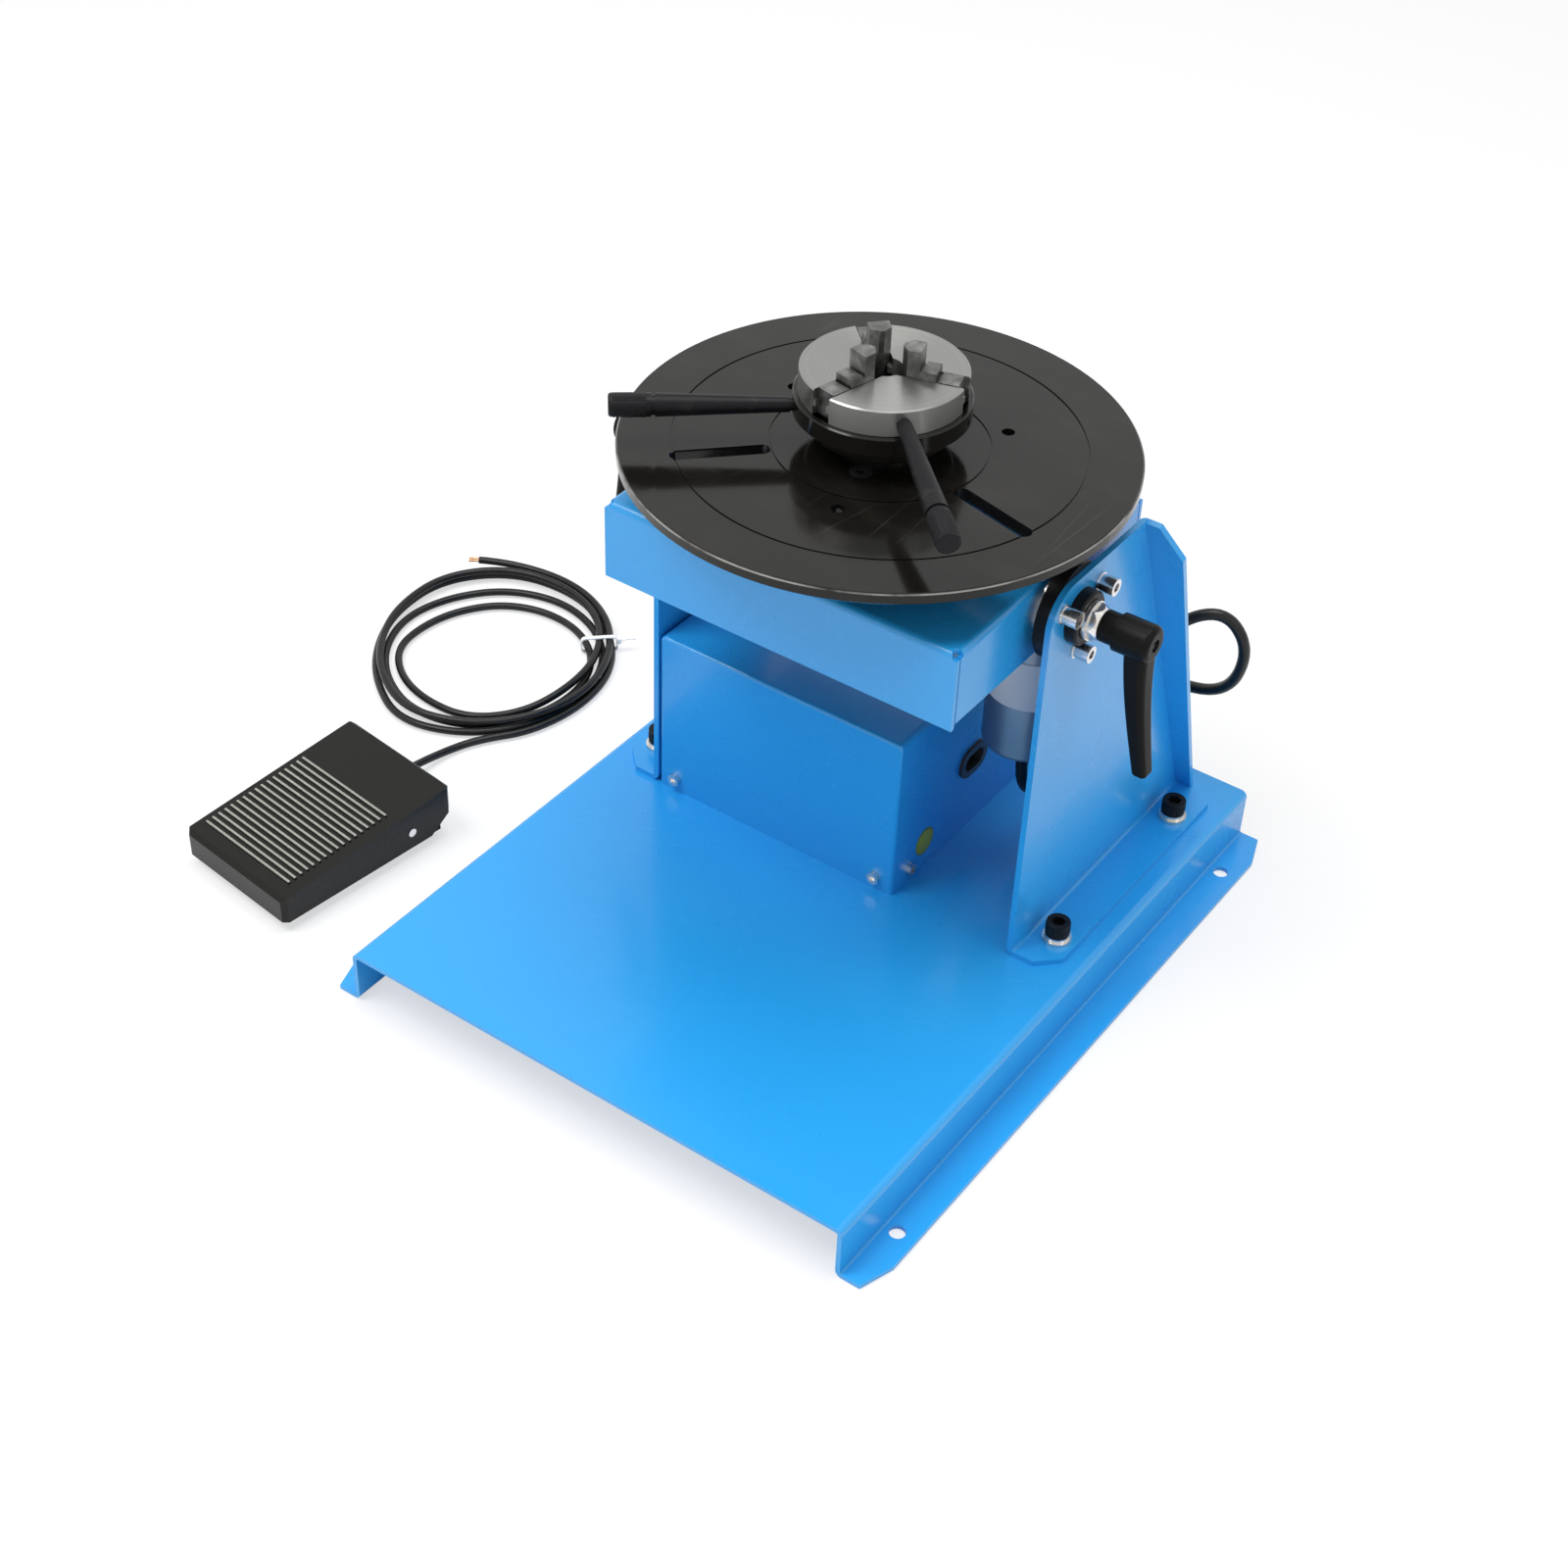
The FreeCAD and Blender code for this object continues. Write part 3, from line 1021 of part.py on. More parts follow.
def chuck_jaw(angle):
    """One jaw: the base with its side grooves, the tall step, the pointed tip and the scroll teeth."""
    z0 = CHUCK_BOTTOM + 0.1
    half = JAW_W / 2
    base = block(JAW_TIP, JAW_OUTER, -half, half, z0, CHUCK_TOP + 0.3)
    tall_end = JAW_TIP + JAW_STEP
    step = block(JAW_TIP, tall_end, -half, half, CHUCK_TOP, CHUCK_TOP + JAW_RISE)
    middle = block(JAW_TIP, tall_end + JAW_MID_STEP, -half, half, CHUCK_TOP, CHUCK_TOP + JAW_MID_RISE)
    body = base.fuse([step, middle]).removeSplitter()
    rail_z0, rail_z1 = rail_span()
    groove = RAIL_IN
    cuts = []
    for s in (-1, 1):
        y0, y1 = sorted((s * (half - groove), s * (half + 1)))
        cuts.append(block(JAW_TIP - 1, JAW_OUTER + 1, y0, y1, rail_z0 - JAW_SIDE, rail_z1 + JAW_SIDE))
        cuts.append(plate_xy([(JAW_TIP - 0.01, s * 1.0), (JAW_TIP + 2.6, s * (half + 0.01)),
                              (JAW_TIP - 0.01, s * (half + 0.01))], z0 - 1, CHUCK_TOP + JAW_RISE + 1))
    for start, top in ((tall_end, CHUCK_TOP + JAW_MID_RISE), (tall_end + JAW_MID_STEP, CHUCK_TOP + 0.3)):
        cuts.append(block(start, start + JAW_NOTCH_W, -half - 1, half + 1, top - JAW_NOTCH_DEPTH, top + 1))
    body = body.cut(cuts)
    turn = angle / 360.0
    teeth = []
    first = 0
    while scroll_radius(turn + first + 0.5) + TOOTH_W < JAW_OUTER - 1.2:
        r = scroll_radius(turn + first + 0.5)
        first += 1
        if r - TOOTH_W / 2 < CHUCK_STEP_R + 3.2:
            continue
        ring = Part.makeCylinder(r + TOOTH_W / 2, TOOTH_DEPTH + 0.6, V(0, 0, z0 - TOOTH_DEPTH)).cut(
            Part.makeCylinder(r - TOOTH_W / 2, TOOTH_DEPTH + 2, V(0, 0, z0 - TOOTH_DEPTH - 0.5)))
        teeth.append(ring.common(block(0, JAW_OUTER, -half + 0.4, half - 0.4, z0 - TOOTH_DEPTH, z0 + 0.5)))
    body = body.fuse(teeth).removeSplitter()
    body.rotate(V(0, 0, 0), V(0, 0, 1), angle)
    body.translate(V(0, PIVOT_Y, 0))
    return body


# ---- control box --------------------------------------------------------------------------------------
def box_cover():
    x0, x1, y0, y1, t = BOX_LEFT, BOX_RIGHT, BOX_FRONT_Y, BOX_REAR_Y, BOX_SHEET
    outer = block(x0, x1, y0, y1, DECK_TOP, BOX_TOP)
    for place in ({"x": x0, "z": BOX_TOP}, {"x": x1, "z": BOX_TOP}):
        outer = fillet_where(outer, BOX_BEND, edge_at(V(0, 1, 0), **place))
    outer = fillet_where(outer, BOX_BEND - 1, lambda e: abs(e.CenterOfMass.y - y0) < 1e-3
                         and e.CenterOfMass.z > DECK_TOP + 1)
    inner = block(x0 + t, x1 - t, y0 + t, y1 + 1, DECK_TOP - 1, BOX_TOP - t)
    cuts = [inner]
    for x, y, z, dx, dy in box_screw_places():
        if dy >= 0:
            cuts.append(rod(1.75, (x - 3 * dx, y - 3 * dy, z), (x + 6 * dx, y + 6 * dy, z)))
    cuts.append(lead_oval(0.0, x1 - 5, x1 + 1))
    return less(outer, cuts)


def lead_oval(grow, x0, x1):
    """A bar with the outline of the lead opening, or of one larger all round."""
    r = LEAD_SLOT_H / 2 + grow
    reach = (LEAD_SLOT_W - LEAD_SLOT_H) / 2
    y = PIVOT_Y + LEAD_BACK
    return union([block(x0, x1, y - reach, y + reach, LEAD_Z - r, LEAD_Z + r),
                  rod(r, (x0, y - reach, LEAD_Z), (x1, y - reach, LEAD_Z)),
                  rod(r, (x0, y + reach, LEAD_Z), (x1, y + reach, LEAD_Z))])


def lead_grommet():
    """The rubber edging of the lead opening, with a lip on each face of the sheet."""
    gap = 0.05
    inside, outside = BOX_RIGHT - BOX_SHEET - gap, BOX_RIGHT + gap
    body = union([lead_oval(-gap, inside - GROMMET_LIP, outside + GROMMET_LIP),
                  lead_oval(GROMMET_LIP, inside - GROMMET_LIP, inside),
                  lead_oval(GROMMET_LIP, outside, outside + GROMMET_LIP)])
    return less(body, [lead_oval(-GROMMET_WALL, inside - 5, outside + 5)])


def panel_xs():
    """Places across the rear panel: knob, toggle, rocker, then pedal socket, power inlet, cable gland."""
    middle = (BOX_LEFT + BOX_RIGHT) / 2
    return {"knob": middle - 36, "toggle": middle - 8, "rocker": middle + 18,
            "socket": middle - 38, "inlet": middle - 2, "gland": middle + 42}


def rear_panel():
    t, x = BOX_SHEET, panel_xs()
    y0, y1 = BOX_REAR_Y - t, BOX_REAR_Y
    body = block(BOX_LEFT + t + 0.2, BOX_RIGHT - t - 0.2, y0, y1, DECK_TOP, BOX_TOP - t - 0.2)
    lip = block(BOX_LEFT + 12, BOX_RIGHT - 12, y0 - 9, y0, BOX_TOP - 2 * t - 0.2, BOX_TOP - t - 0.2)
    body = union([body, lip])
    cuts = [rod(4.6, (x["knob"], y0 - 1, PANEL_ROW), (x["knob"], y1 + 1, PANEL_ROW)),
            rod(3.6, (x["toggle"], y0 - 1, PANEL_ROW), (x["toggle"], y1 + 1, PANEL_ROW)),
            block(x["rocker"] - 9.3, x["rocker"] + 9.3, y0 - 1, y1 + 1, PANEL_ROW - 9.5, PANEL_ROW + 9.5),
            rod(7.0, (x["socket"], y0 - 1, PANEL_LOW_ROW), (x["socket"], y1 + 1, PANEL_LOW_ROW)),
            block(x["inlet"] - 14, x["inlet"] + 14, y0 - 1, y1 + 1, PANEL_LOW_ROW - 10, PANEL_LOW_ROW + 10),
            rod(6.0, (x["gland"], y0 - 1, gland_z()), (x["gland"], y1 + 1, gland_z()))]
    for sx, sy, sz, dx, dy in box_screw_places():
        if dy < 0:
            cuts.append(rod(1.75, (sx, y0 - 1, sz), (sx, y1 + 1, sz)))
    return less(body, cuts)


def gland_z():
    return (PANEL_ROW + PANEL_LOW_ROW) / 2 - 4


def box_fasteners():
    pieces = []
    for x, y, z, dx, dy in box_screw_places():
        head = (x, y, z)
        pieces.append(socket_screw(1.5, head, (x + 7 * dx, y + 7 * dy, z), 2.8, 2.2))
    for x, y in board_corner_places():
        pieces.append(tube(2.8, 1.3, (x, y, DECK_TOP), (x, y, board_z())))
        pieces.append(rod(2.4, (x, y, board_z() + 1.6), (x, y, board_z() + 3.2)))
    return Part.makeCompound(pieces)


def board_z():
    return DECK_TOP + 8


def board_box():
    return BOX_LEFT + 12, BOX_LEFT + 76, BOX_FRONT_Y + 24, BOX_FRONT_Y + 84


def board_corner_places():
    x0, x1, y0, y1 = board_box()
    return [(x, y) for x in (x0 + 4, x1 - 4) for y in (y0 + 4, y1 - 4)]


def control_board():
    x0, x1, y0, y1 = board_box()
    z = board_z()
    board = block(x0, x1, y0, y1, z, z + 1.6)
    top = z + 1.6
    fins = [block(x0 + 12, x0 + 30, y0 + 10, y0 + 12, top, top + 22)]
    for k in range(4):
        fins.append(block(x0 + 13 + 4.6 * k, x0 + 14.4 + 4.6 * k, y0 + 12, y0 + 24, top, top + 22))
    relay = block(x0 + 38, x0 + 56, y0 + 10, y0 + 24, top, top + 14)
    parts = [union([board] + fins), relay]
    for k in range(3):
        parts.append(rod(4.0, (x0 + 16 + 13 * k, y1 - 20, top), (x0 + 16 + 13 * k, y1 - 20, top + 13)))
    parts.append(block(x0 + 14, x1 - 14, y1 - 11, y1 - 3, top, top + 9))
    return Part.makeCompound(parts)


def power_supply():
    """A small supply in a folded metal case, with its terminal strip."""
    x0, x1 = BOX_RIGHT - 44, BOX_RIGHT - 7
    y0, y1 = BOX_FRONT_Y + 14, BOX_FRONT_Y + 96
    case = block(x0, x1, y0, y1, DECK_TOP, DECK_TOP + 29)
    case = case.cut(block(x0 + 1, x1 - 1, y1 - 13, y1 + 1, DECK_TOP + 12, DECK_TOP + 30))
    return less(case, [block(x0 + 5, x1 - 5, y0 + 8 + 9 * k, y0 + 11 + 9 * k, DECK_TOP + 28, DECK_TOP + 30)
                       for k in range(6)])


def panel_fittings():
    """The fixed parts of the panel controls and both sockets."""
    y0, y1, x = BOX_REAR_Y - BOX_SHEET, BOX_REAR_Y, panel_xs()
    k, z = x["knob"], PANEL_ROW
    pot = union([rod(8.0, (k, y0 - 10, z), (k, y0, z)), rod(4.5, (k, y0, z), (k, y1 + 5, z))])
    pot = pot.cut(rod(3.0 + RUN_FIT, (k, y0 - 6, z), (k, y1 + 6, z)))
    pot_nut = hexagon(11, (k, y1, z), (k, y1 + 2, z)).cut(rod(4.5, (k, y1 - 1, z), (k, y1 + 3, z)))
    g = x["toggle"]
    toggle = union([block(g - 6, g + 6, y0 - 14, y0, z - 6.5, z + 6.5), rod(3.5, (g, y0, z), (g, y1 + 6, z))])
    toggle = toggle.cut(rod(2.5, (g, y0 - 1, z), (g, y1 + 7, z)))
    toggle_nut = hexagon(9, (g, y1, z), (g, y1 + 2, z)).cut(rod(3.5, (g, y1 - 1, z), (g, y1 + 3, z)))
    c = x["rocker"]
    rocker = union([block(c - 9, c + 9, y0 - 14, y1 + 0.5, z - 9.2, z + 9.2),
                    block(c - 10.5, c + 10.5, y1, y1 + 2, z - 10.7, z + 10.7)])
    rocker = rocker.cut([block(c - 7.6, c + 7.6, y0 - 12, y1 + 3, z - 7.8, z + 7.8),
                         rod(1.5 + RUN_FIT, (c - 8.6, rocker_axis_y(), z), (c + 8.6, rocker_axis_y(), z))])
    s, low = x["socket"], PANEL_LOW_ROW
    socket = union([tube(9.5, 6.0, (s, y1, low), (s, y1 + 2, low)), tube(6.9, 6.0, (s, y0 - 8, low), (s, y1 + 9, low)),
                    rod(6.9, (s, y0 - 10, low), (s, y0 - 8, low))])
    pins = [rod(0.9, (s + 3 * math.cos(a), y0 - 9, low + 3 * math.sin(a)),
                (s + 3 * math.cos(a), y1 + 6, low + 3 * math.sin(a))) for a in (1.571, 3.665, 5.76)]
    n = x["inlet"]
    inlet = union([block(n - 13.8, n + 13.8, y0 - 17, y1 + 1, low - 9.8, low + 9.8),
                   block(n - 20, n + 20, y1, y1 + 2.5, low - 11.5, low + 11.5)])
    inlet = inlet.cut(block(n - 11.8, n + 11.8, y0 - 14, y1 + 4, low - 7.8, low + 7.8))
    blades = [block(n + 7 * i - 1, n + 7 * i + 1, y0 - 15, y0, low - 2 + 2 * (i == 0), low + 2 + 2 * (i == 0))
              for i in (-1, 0, 1)]
    return Part.makeCompound([pot, pot_nut, toggle, toggle_nut, rocker, union([socket] + pins),
                              union([inlet] + blades)])


def rocker_axis_y():
    return BOX_REAR_Y - 3.0


def speed_knob():
    """Control knob with a pointer groove, on its shaft."""
    k, z = panel_xs()["knob"], PANEL_ROW
    start = BOX_REAR_Y + 5.5
    body = cone(KNOB_R, KNOB_R - 1.2, (k, start, z), (k, start + KNOB_L, z))
    body = body.cut([rod(7.2, (k, start - 1, z), (k, start + 2, z))])
    flutes = []
    for i in range(12):
        a = 2 * math.pi * i / 12
        fx, fz = k + (KNOB_R + 0.6) * math.cos(a), z + (KNOB_R + 0.6) * math.sin(a)
        flutes.append(rod(1.4, (fx, start + 3, fz), (fx, start + KNOB_L + 1, fz)))
    body = body.cut(flutes)
    body = body.cut(block(k - 0.6, k + 0.6, start + KNOB_L - 0.7, start + KNOB_L + 1, z, z + KNOB_R + 1))
    return union([body, rod(3.0, (k, BOX_REAR_Y - BOX_SHEET - 5.5, z), (k, start + 3, z))])


def toggle_axis_y():
    return BOX_REAR_Y + 1.0


def direction_toggle():
    g, z, y = panel_xs()["toggle"], PANEL_ROW, toggle_axis_y()
    ball = Part.makeSphere(2.42, V(g, y, z))
    bat = cone(1.0, 1.9, (g, y, z), (g, y + 16, z))
    lever = union([ball, bat, Part.makeSphere(1.98, V(g, y + 16, z))])
    return lever.cut(rod(TOGGLE_PIN_R, (g - 4, y, z), (g + 4, y, z)))


def power_rocker():
    """A rocker whose ends stay inside a circle round its pin."""
    c, z, y = panel_xs()["rocker"], PANEL_ROW, rocker_axis_y()
    drum = rod(7.5, (c - 7.4, y, z), (c + 7.4, y, z))
    outline = plate_yz([(y - 3, z - 5), (y - 3, z + 5), (y + 5, z + 9), (y + 6.8, z + 9), (y + 4.4, z),
                        (y + 6.8, z - 9), (y + 5, z - 9)], c - 7.4, c + 7.4)
    return union([drum.common(outline), rod(1.5, (c - 8.5, y, z), (c + 8.5, y, z))])


def cable_gland():
    g, z, y1 = panel_xs()["gland"], gland_z(), BOX_REAR_Y
    y0 = y1 - BOX_SHEET
    body = union([rod(6.0, (g, y0 - 7, z), (g, y1 + 5, z)), hexagon(16, (g, y1, z), (g, y1 + 4.5, z))])
    dome = fillet_where(rod(7.6, (g, y1 + 4.5, z), (g, y1 + 14, z)), 3.0,
                        lambda e: isinstance(e.Curve, Part.Circle) and abs(e.Curve.Center.y - y1 - 14) < 1e-3)
    nut = hexagon(15, (g, y0 - 4, z), (g, y0, z))
    return union([body, dome, nut]).cut(rod(CABLE_R, (g, y0 - 8, z), (g, y1 + 15, z)))


def motor_cable():
    g, z = panel_xs()["gland"], gland_z()
    end = MOTOR_TAIL - MOTOR_CAP_L - 5
    x, y = BRACKET_OUTER, PIVOT_Y
    points = [(g, BOX_REAR_Y - 8, z), (g, y + 126, z), (x - 26, y + 143, z - 4), (x + 8, y + 138, z + 6),
              (x + 17, y + 133, z + 38), (x + 3, y + 129, z + 56), (x - 18, y + 118, z + 42),
              (MOTOR_X + 4, MOTOR_Y + 34, end - 24), (MOTOR_X, MOTOR_Y, end - 26), (MOTOR_X, MOTOR_Y, end)]
    return route_tube(points, CABLE_R)


# ---- foot pedal ---------------------------------------------------------------------------------------
def at_pedal(shape):
    """Turns a piece with the pedal, about the middle of its front edge."""
    shape.rotate(V(PEDAL_X, PEDAL_FRONT, 0), V(0, 0, 1), PEDAL_TURN)
    return shape


def treadle_top(back):
    """Height of the treadle at a distance behind its front edge."""
    return PEDAL_FRONT_TOP + (PEDAL_REAR_TOP - PEDAL_FRONT_TOP) * back / PEDAL_LEN


def pedal_side():
    """The side outline of the treadle: distance back from its front, and height."""
    return [(0, PEDAL_SKIRT), (0, PEDAL_FRONT_TOP - 2.0), (2.0, treadle_top(2.0)),
            (PEDAL_LEN - 1.5, treadle_top(PEDAL_LEN - 1.5)), (PEDAL_LEN, PEDAL_REAR_TOP - 1.5),
            (PEDAL_LEN, PEDAL_HEEL), (PEDAL_PIN_BACK + 8.0, PEDAL_SKIRT)]


def treadle_outline(inset):
    y0, y1 = PEDAL_FRONT + inset, PEDAL_REAR - inset
    points = [(min(max(PEDAL_FRONT + back, y0), y1), z - (inset if z > PEDAL_SKIRT else 2))
              for back, z in pedal_side()]
    half = PEDAL_W / 2 - inset
    return plate_yz(points, PEDAL_X - half, PEDAL_X + half)


def pedal_treadle():
    half, c = PEDAL_W / 2, PEDAL_CORNER
    outer = treadle_outline(0.0)
    outer = outer.common(block(PEDAL_X - half, PEDAL_X + half, PEDAL_FRONT, PEDAL_REAR, PEDAL_SKIRT, 40))
    corners = plate_xy([(PEDAL_X + sx, y) for sx, y in (
        (-half + c, PEDAL_FRONT), (half - c, PEDAL_FRONT), (half, PEDAL_FRONT + c), (half, PEDAL_REAR - c),
        (half - c, PEDAL_REAR), (-half + c, PEDAL_REAR), (-half, PEDAL_REAR - c), (-half, PEDAL_FRONT + c))], 0, 40)
    outer = outer.common(corners)
    body = outer.cut(treadle_outline(TREADLE_WALL))
    ribs = []
    for k in range(RIB_COUNT):
        back = RIB_FRONT + RIB_PITCH * k
        y, low, high = PEDAL_FRONT + back, treadle_top(back), treadle_top(back + RIB_W)
        ribs.append(plate_yz([(y, low - 1.0), (y + 0.35, low + RIB_H), (y + RIB_W - 0.35, high + RIB_H),
                              (y + RIB_W, high - 1.0)], PEDAL_X - half + 3.5, PEDAL_X + half - 6.5))
    magnet_y = PEDAL_PIN_Y - PLUNGER_BACK
    pad = block(PEDAL_X - 3, PEDAL_X + 3, magnet_y - 3, magnet_y + 3, PLUNGER_TOP,
                treadle_top(PEDAL_PIN_BACK - PLUNGER_BACK) - 1)
    body = union([body] + ribs + [pad])
    exit_x = PEDAL_X + CORD_EXIT_X
    cuts = [rod(PEDAL_PIN_R + RUN_FIT, (PEDAL_X - half - 1, PEDAL_PIN_Y, PEDAL_PIN_Z),
                (PEDAL_X + half + 1, PEDAL_PIN_Y, PEDAL_PIN_Z)),
            block(exit_x - 4, exit_x + 4, PEDAL_REAR - 4, PEDAL_REAR + 1, 4, CORD_EXIT_Z + CORD_R + 1.5)]
    return less(body, cuts)


def pedal_base():
    """The floor plate with two ears for the pin, a seat for the spring and the cord clamp."""
    half = PEDAL_W / 2 - TREADLE_WALL - 1.2
    plate = block(PEDAL_X - half, PEDAL_X + half, PEDAL_FRONT + 4.5, PEDAL_REAR - 4.5, FOOT_H, FOOT_H + 2.0)
    pieces = [plate]
    for s in (-1, 1):
        x0, x1 = sorted((PEDAL_X + s * half, PEDAL_X + s * (half - 3)))
        pieces.append(plate_yz([(PEDAL_PIN_Y - 8, FOOT_H + 1), (PEDAL_PIN_Y - 4, PEDAL_PIN_Z + 3),
                                (PEDAL_PIN_Y + 4, PEDAL_PIN_Z + 3), (PEDAL_PIN_Y + 8, FOOT_H + 1)], x0, x1))
    exit_x = PEDAL_X + CORD_EXIT_X
    clamp = block(exit_x - 7, exit_x + 7, PEDAL_REAR - 14, PEDAL_REAR - 7, FOOT_H + 1, CORD_EXIT_Z + CORD_R + 1.5)
    post_y = PEDAL_PIN_Y - SPRING_BACK
    pieces += [clamp, rod(SPRING_R - SPRING_WIRE_R - 0.4, (PEDAL_X, post_y, FOOT_H + 1), (PEDAL_X, post_y, FOOT_H + 4))]
    body = union(pieces)
    return less(body, [rod(PEDAL_PIN_R, (PEDAL_X - half - 1, PEDAL_PIN_Y, PEDAL_PIN_Z),
                           (PEDAL_X + half + 1, PEDAL_PIN_Y, PEDAL_PIN_Z)),
                       rod(CORD_R, (exit_x, PEDAL_REAR - 15, CORD_EXIT_Z), (exit_x, PEDAL_REAR - 6, CORD_EXIT_Z))])


def pedal_pin():
    half = PEDAL_W / 2
    pin = rod(PEDAL_PIN_R, (PEDAL_X - half - 0.4, PEDAL_PIN_Y, PEDAL_PIN_Z), (PEDAL_X + half + 0.4, PEDAL_PIN_Y, PEDAL_PIN_Z))
    return pin


def pedal_feet():
    """Rubber pads under the corners and the long one in the middle."""
    pads = []
    for sx in (-1, 1):
        for y in (PEDAL_FRONT + 14, PEDAL_REAR - 14):
            pads.append(rod(5.5, (PEDAL_X + sx * 21, y, 0), (PEDAL_X + sx * 21, y, FOOT_H)))
    pads.append(block(PEDAL_X - 25, PEDAL_X + 25, PEDAL_PIN_Y - 9, PEDAL_PIN_Y + 5, 0, FOOT_H))
    return Part.makeCompound(pads)


def spring_top():
    back = PEDAL_PIN_BACK - SPRING_BACK - SPRING_R - SPRING_WIRE_R
    return treadle_top(back) - TREADLE_WALL - 0.1


def pedal_spring():
    """A round wire coil under the treadle. It stands upright, so only its place turns with the pedal."""
    back = PEDAL_PIN_BACK - SPRING_BACK
    turn = math.radians(PEDAL_TURN)
    z0, z1 = FOOT_H + 2.0, spring_top()
    turns = 4
    pitch = (z1 - z0 - 2 * SPRING_WIRE_R) / turns
    helix = Part.makeHelix(pitch, z1 - z0 - 2 * SPRING_WIRE_R, SPRING_R)
    wire = Part.Wire(Part.makeCircle(SPRING_WIRE_R, V(SPRING_R, 0, 0), V(0, 1, pitch / (2 * math.pi * SPRING_R))))
    coil = Part.Wire(helix).makePipeShell([wire], True, True)
    coil.translate(V(PEDAL_X - back * math.sin(turn), PEDAL_FRONT + back * math.cos(turn), z0 + SPRING_WIRE_R))
    return coil


def pedal_switch():
    """The switch body under the treadle, with a hole for its plunger."""
    y = PEDAL_PIN_Y - PLUNGER_BACK
    body = block(PEDAL_X - 10, PEDAL_X + 10, y - 5, y + 5, FOOT_H + 2.0, PLUNGER_TOP - 2.6)
    return body.cut(rod(PLUNGER_R + RUN_FIT, (PEDAL_X, y, FOOT_H + 3.0), (PEDAL_X, y, PLUNGER_TOP)))


def pedal_plunger():
    y = PEDAL_PIN_Y - PLUNGER_BACK
    return rod(PLUNGER_R, (PEDAL_X, y, FOOT_H + 5.5), (PEDAL_X, y, PLUNGER_TOP - 0.1))


# ---- pedal cord ---------------------------------------------------------------------------------------
def coil_spot(bearing, r, z):
    """A place on the coil. The rounded corners of the route lie a little inside its points."""
    turn = math.radians(bearing)
    outside = r / math.cos(math.pi / COIL_TURN_POINTS)
    return (COIL_X + outside * math.cos(turn), COIL_Y + outside * math.sin(turn), z)


def coil_points():
    """Three turns on the floor, then one and a half over them."""
    low, high = cord_floor_z(), cord_lift_z()
    radii = [(r, low) for r in COIL_FLOOR] + [(COIL_RISE, (low + 2 * high) / 3)] + [(r, high) for r in COIL_OVER]
    step = 360.0 / COIL_TURN_POINTS
    return [coil_spot(COIL_START + step * k, r, z) for k, (r, z) in enumerate(radii)]


def behind_pedal(back, z):
    """A point on the line of the cord's exit, at a distance behind the pedal."""
    turn = math.radians(PEDAL_TURN)
    across, along = CORD_EXIT_X, PEDAL_LEN + back
    return (PEDAL_X + across * math.cos(turn) - along * math.sin(turn),
            PEDAL_FRONT + across * math.sin(turn) + along * math.cos(turn), z)


def pedal_cord():
    """From the pedal down to the floor, round the coil and out over it to the free end."""
    z = cord_floor_z()
    points = [behind_pedal(-15, CORD_EXIT_Z), behind_pedal(8, CORD_EXIT_Z), (COIL_X + 33, COIL_Y - 68, z),
              (COIL_X + 39.5, COIL_Y - 52, z)]
    return route_tube(points + coil_points() + [cord_end()], CORD_R)


def cord_floor_z():
    return CORD_R + TIE_T + 0.1


def cord_lift_z():
    return cord_floor_z() + 2 * CORD_R + 0.5


def cord_end():
    turn = math.radians(CORD_END_BEARING)
    return (COIL_X + CORD_END_R * math.cos(turn), COIL_Y + CORD_END_R * math.sin(turn), cord_lift_z())


def cord_cores():
    """The stripped ends of the two cores at the free end of the cord."""
    end, before = V(*cord_end()), V(*coil_points()[-1])
    out = (end - before).normalize()
    side = V(-out.y, out.x, 0)
    cores = []
    for s in (-1, 1):
        start = end + side * (0.75 * s) + out * 0.02
        tip = start + out * CORE_L + side * (0.4 * s)
        cores.append(rod(0.65, tuple(start), tuple(tip)))
    return Part.makeCompound(cores)


def cord_tie():
    """A flat band round all the strands of the coil."""
    near, far = TIE_REACH[0] - CORD_R - TIE_SIDE, TIE_REACH[1] + CORD_R + TIE_SIDE
    top = cord_lift_z() + CORD_R + 0.2
    outer = block(near - TIE_T, far + TIE_T, -TIE_HALF, TIE_HALF, 0, top + TIE_T)
    band = outer.cut(block(near, far, -TIE_HALF - 1, TIE_HALF + 1, TIE_T, top))
    band.rotate(V(0, 0, 0), V(0, 0, 1), TIE_BEARING)
    band.translate(V(COIL_X, COIL_Y, 0))
    return band


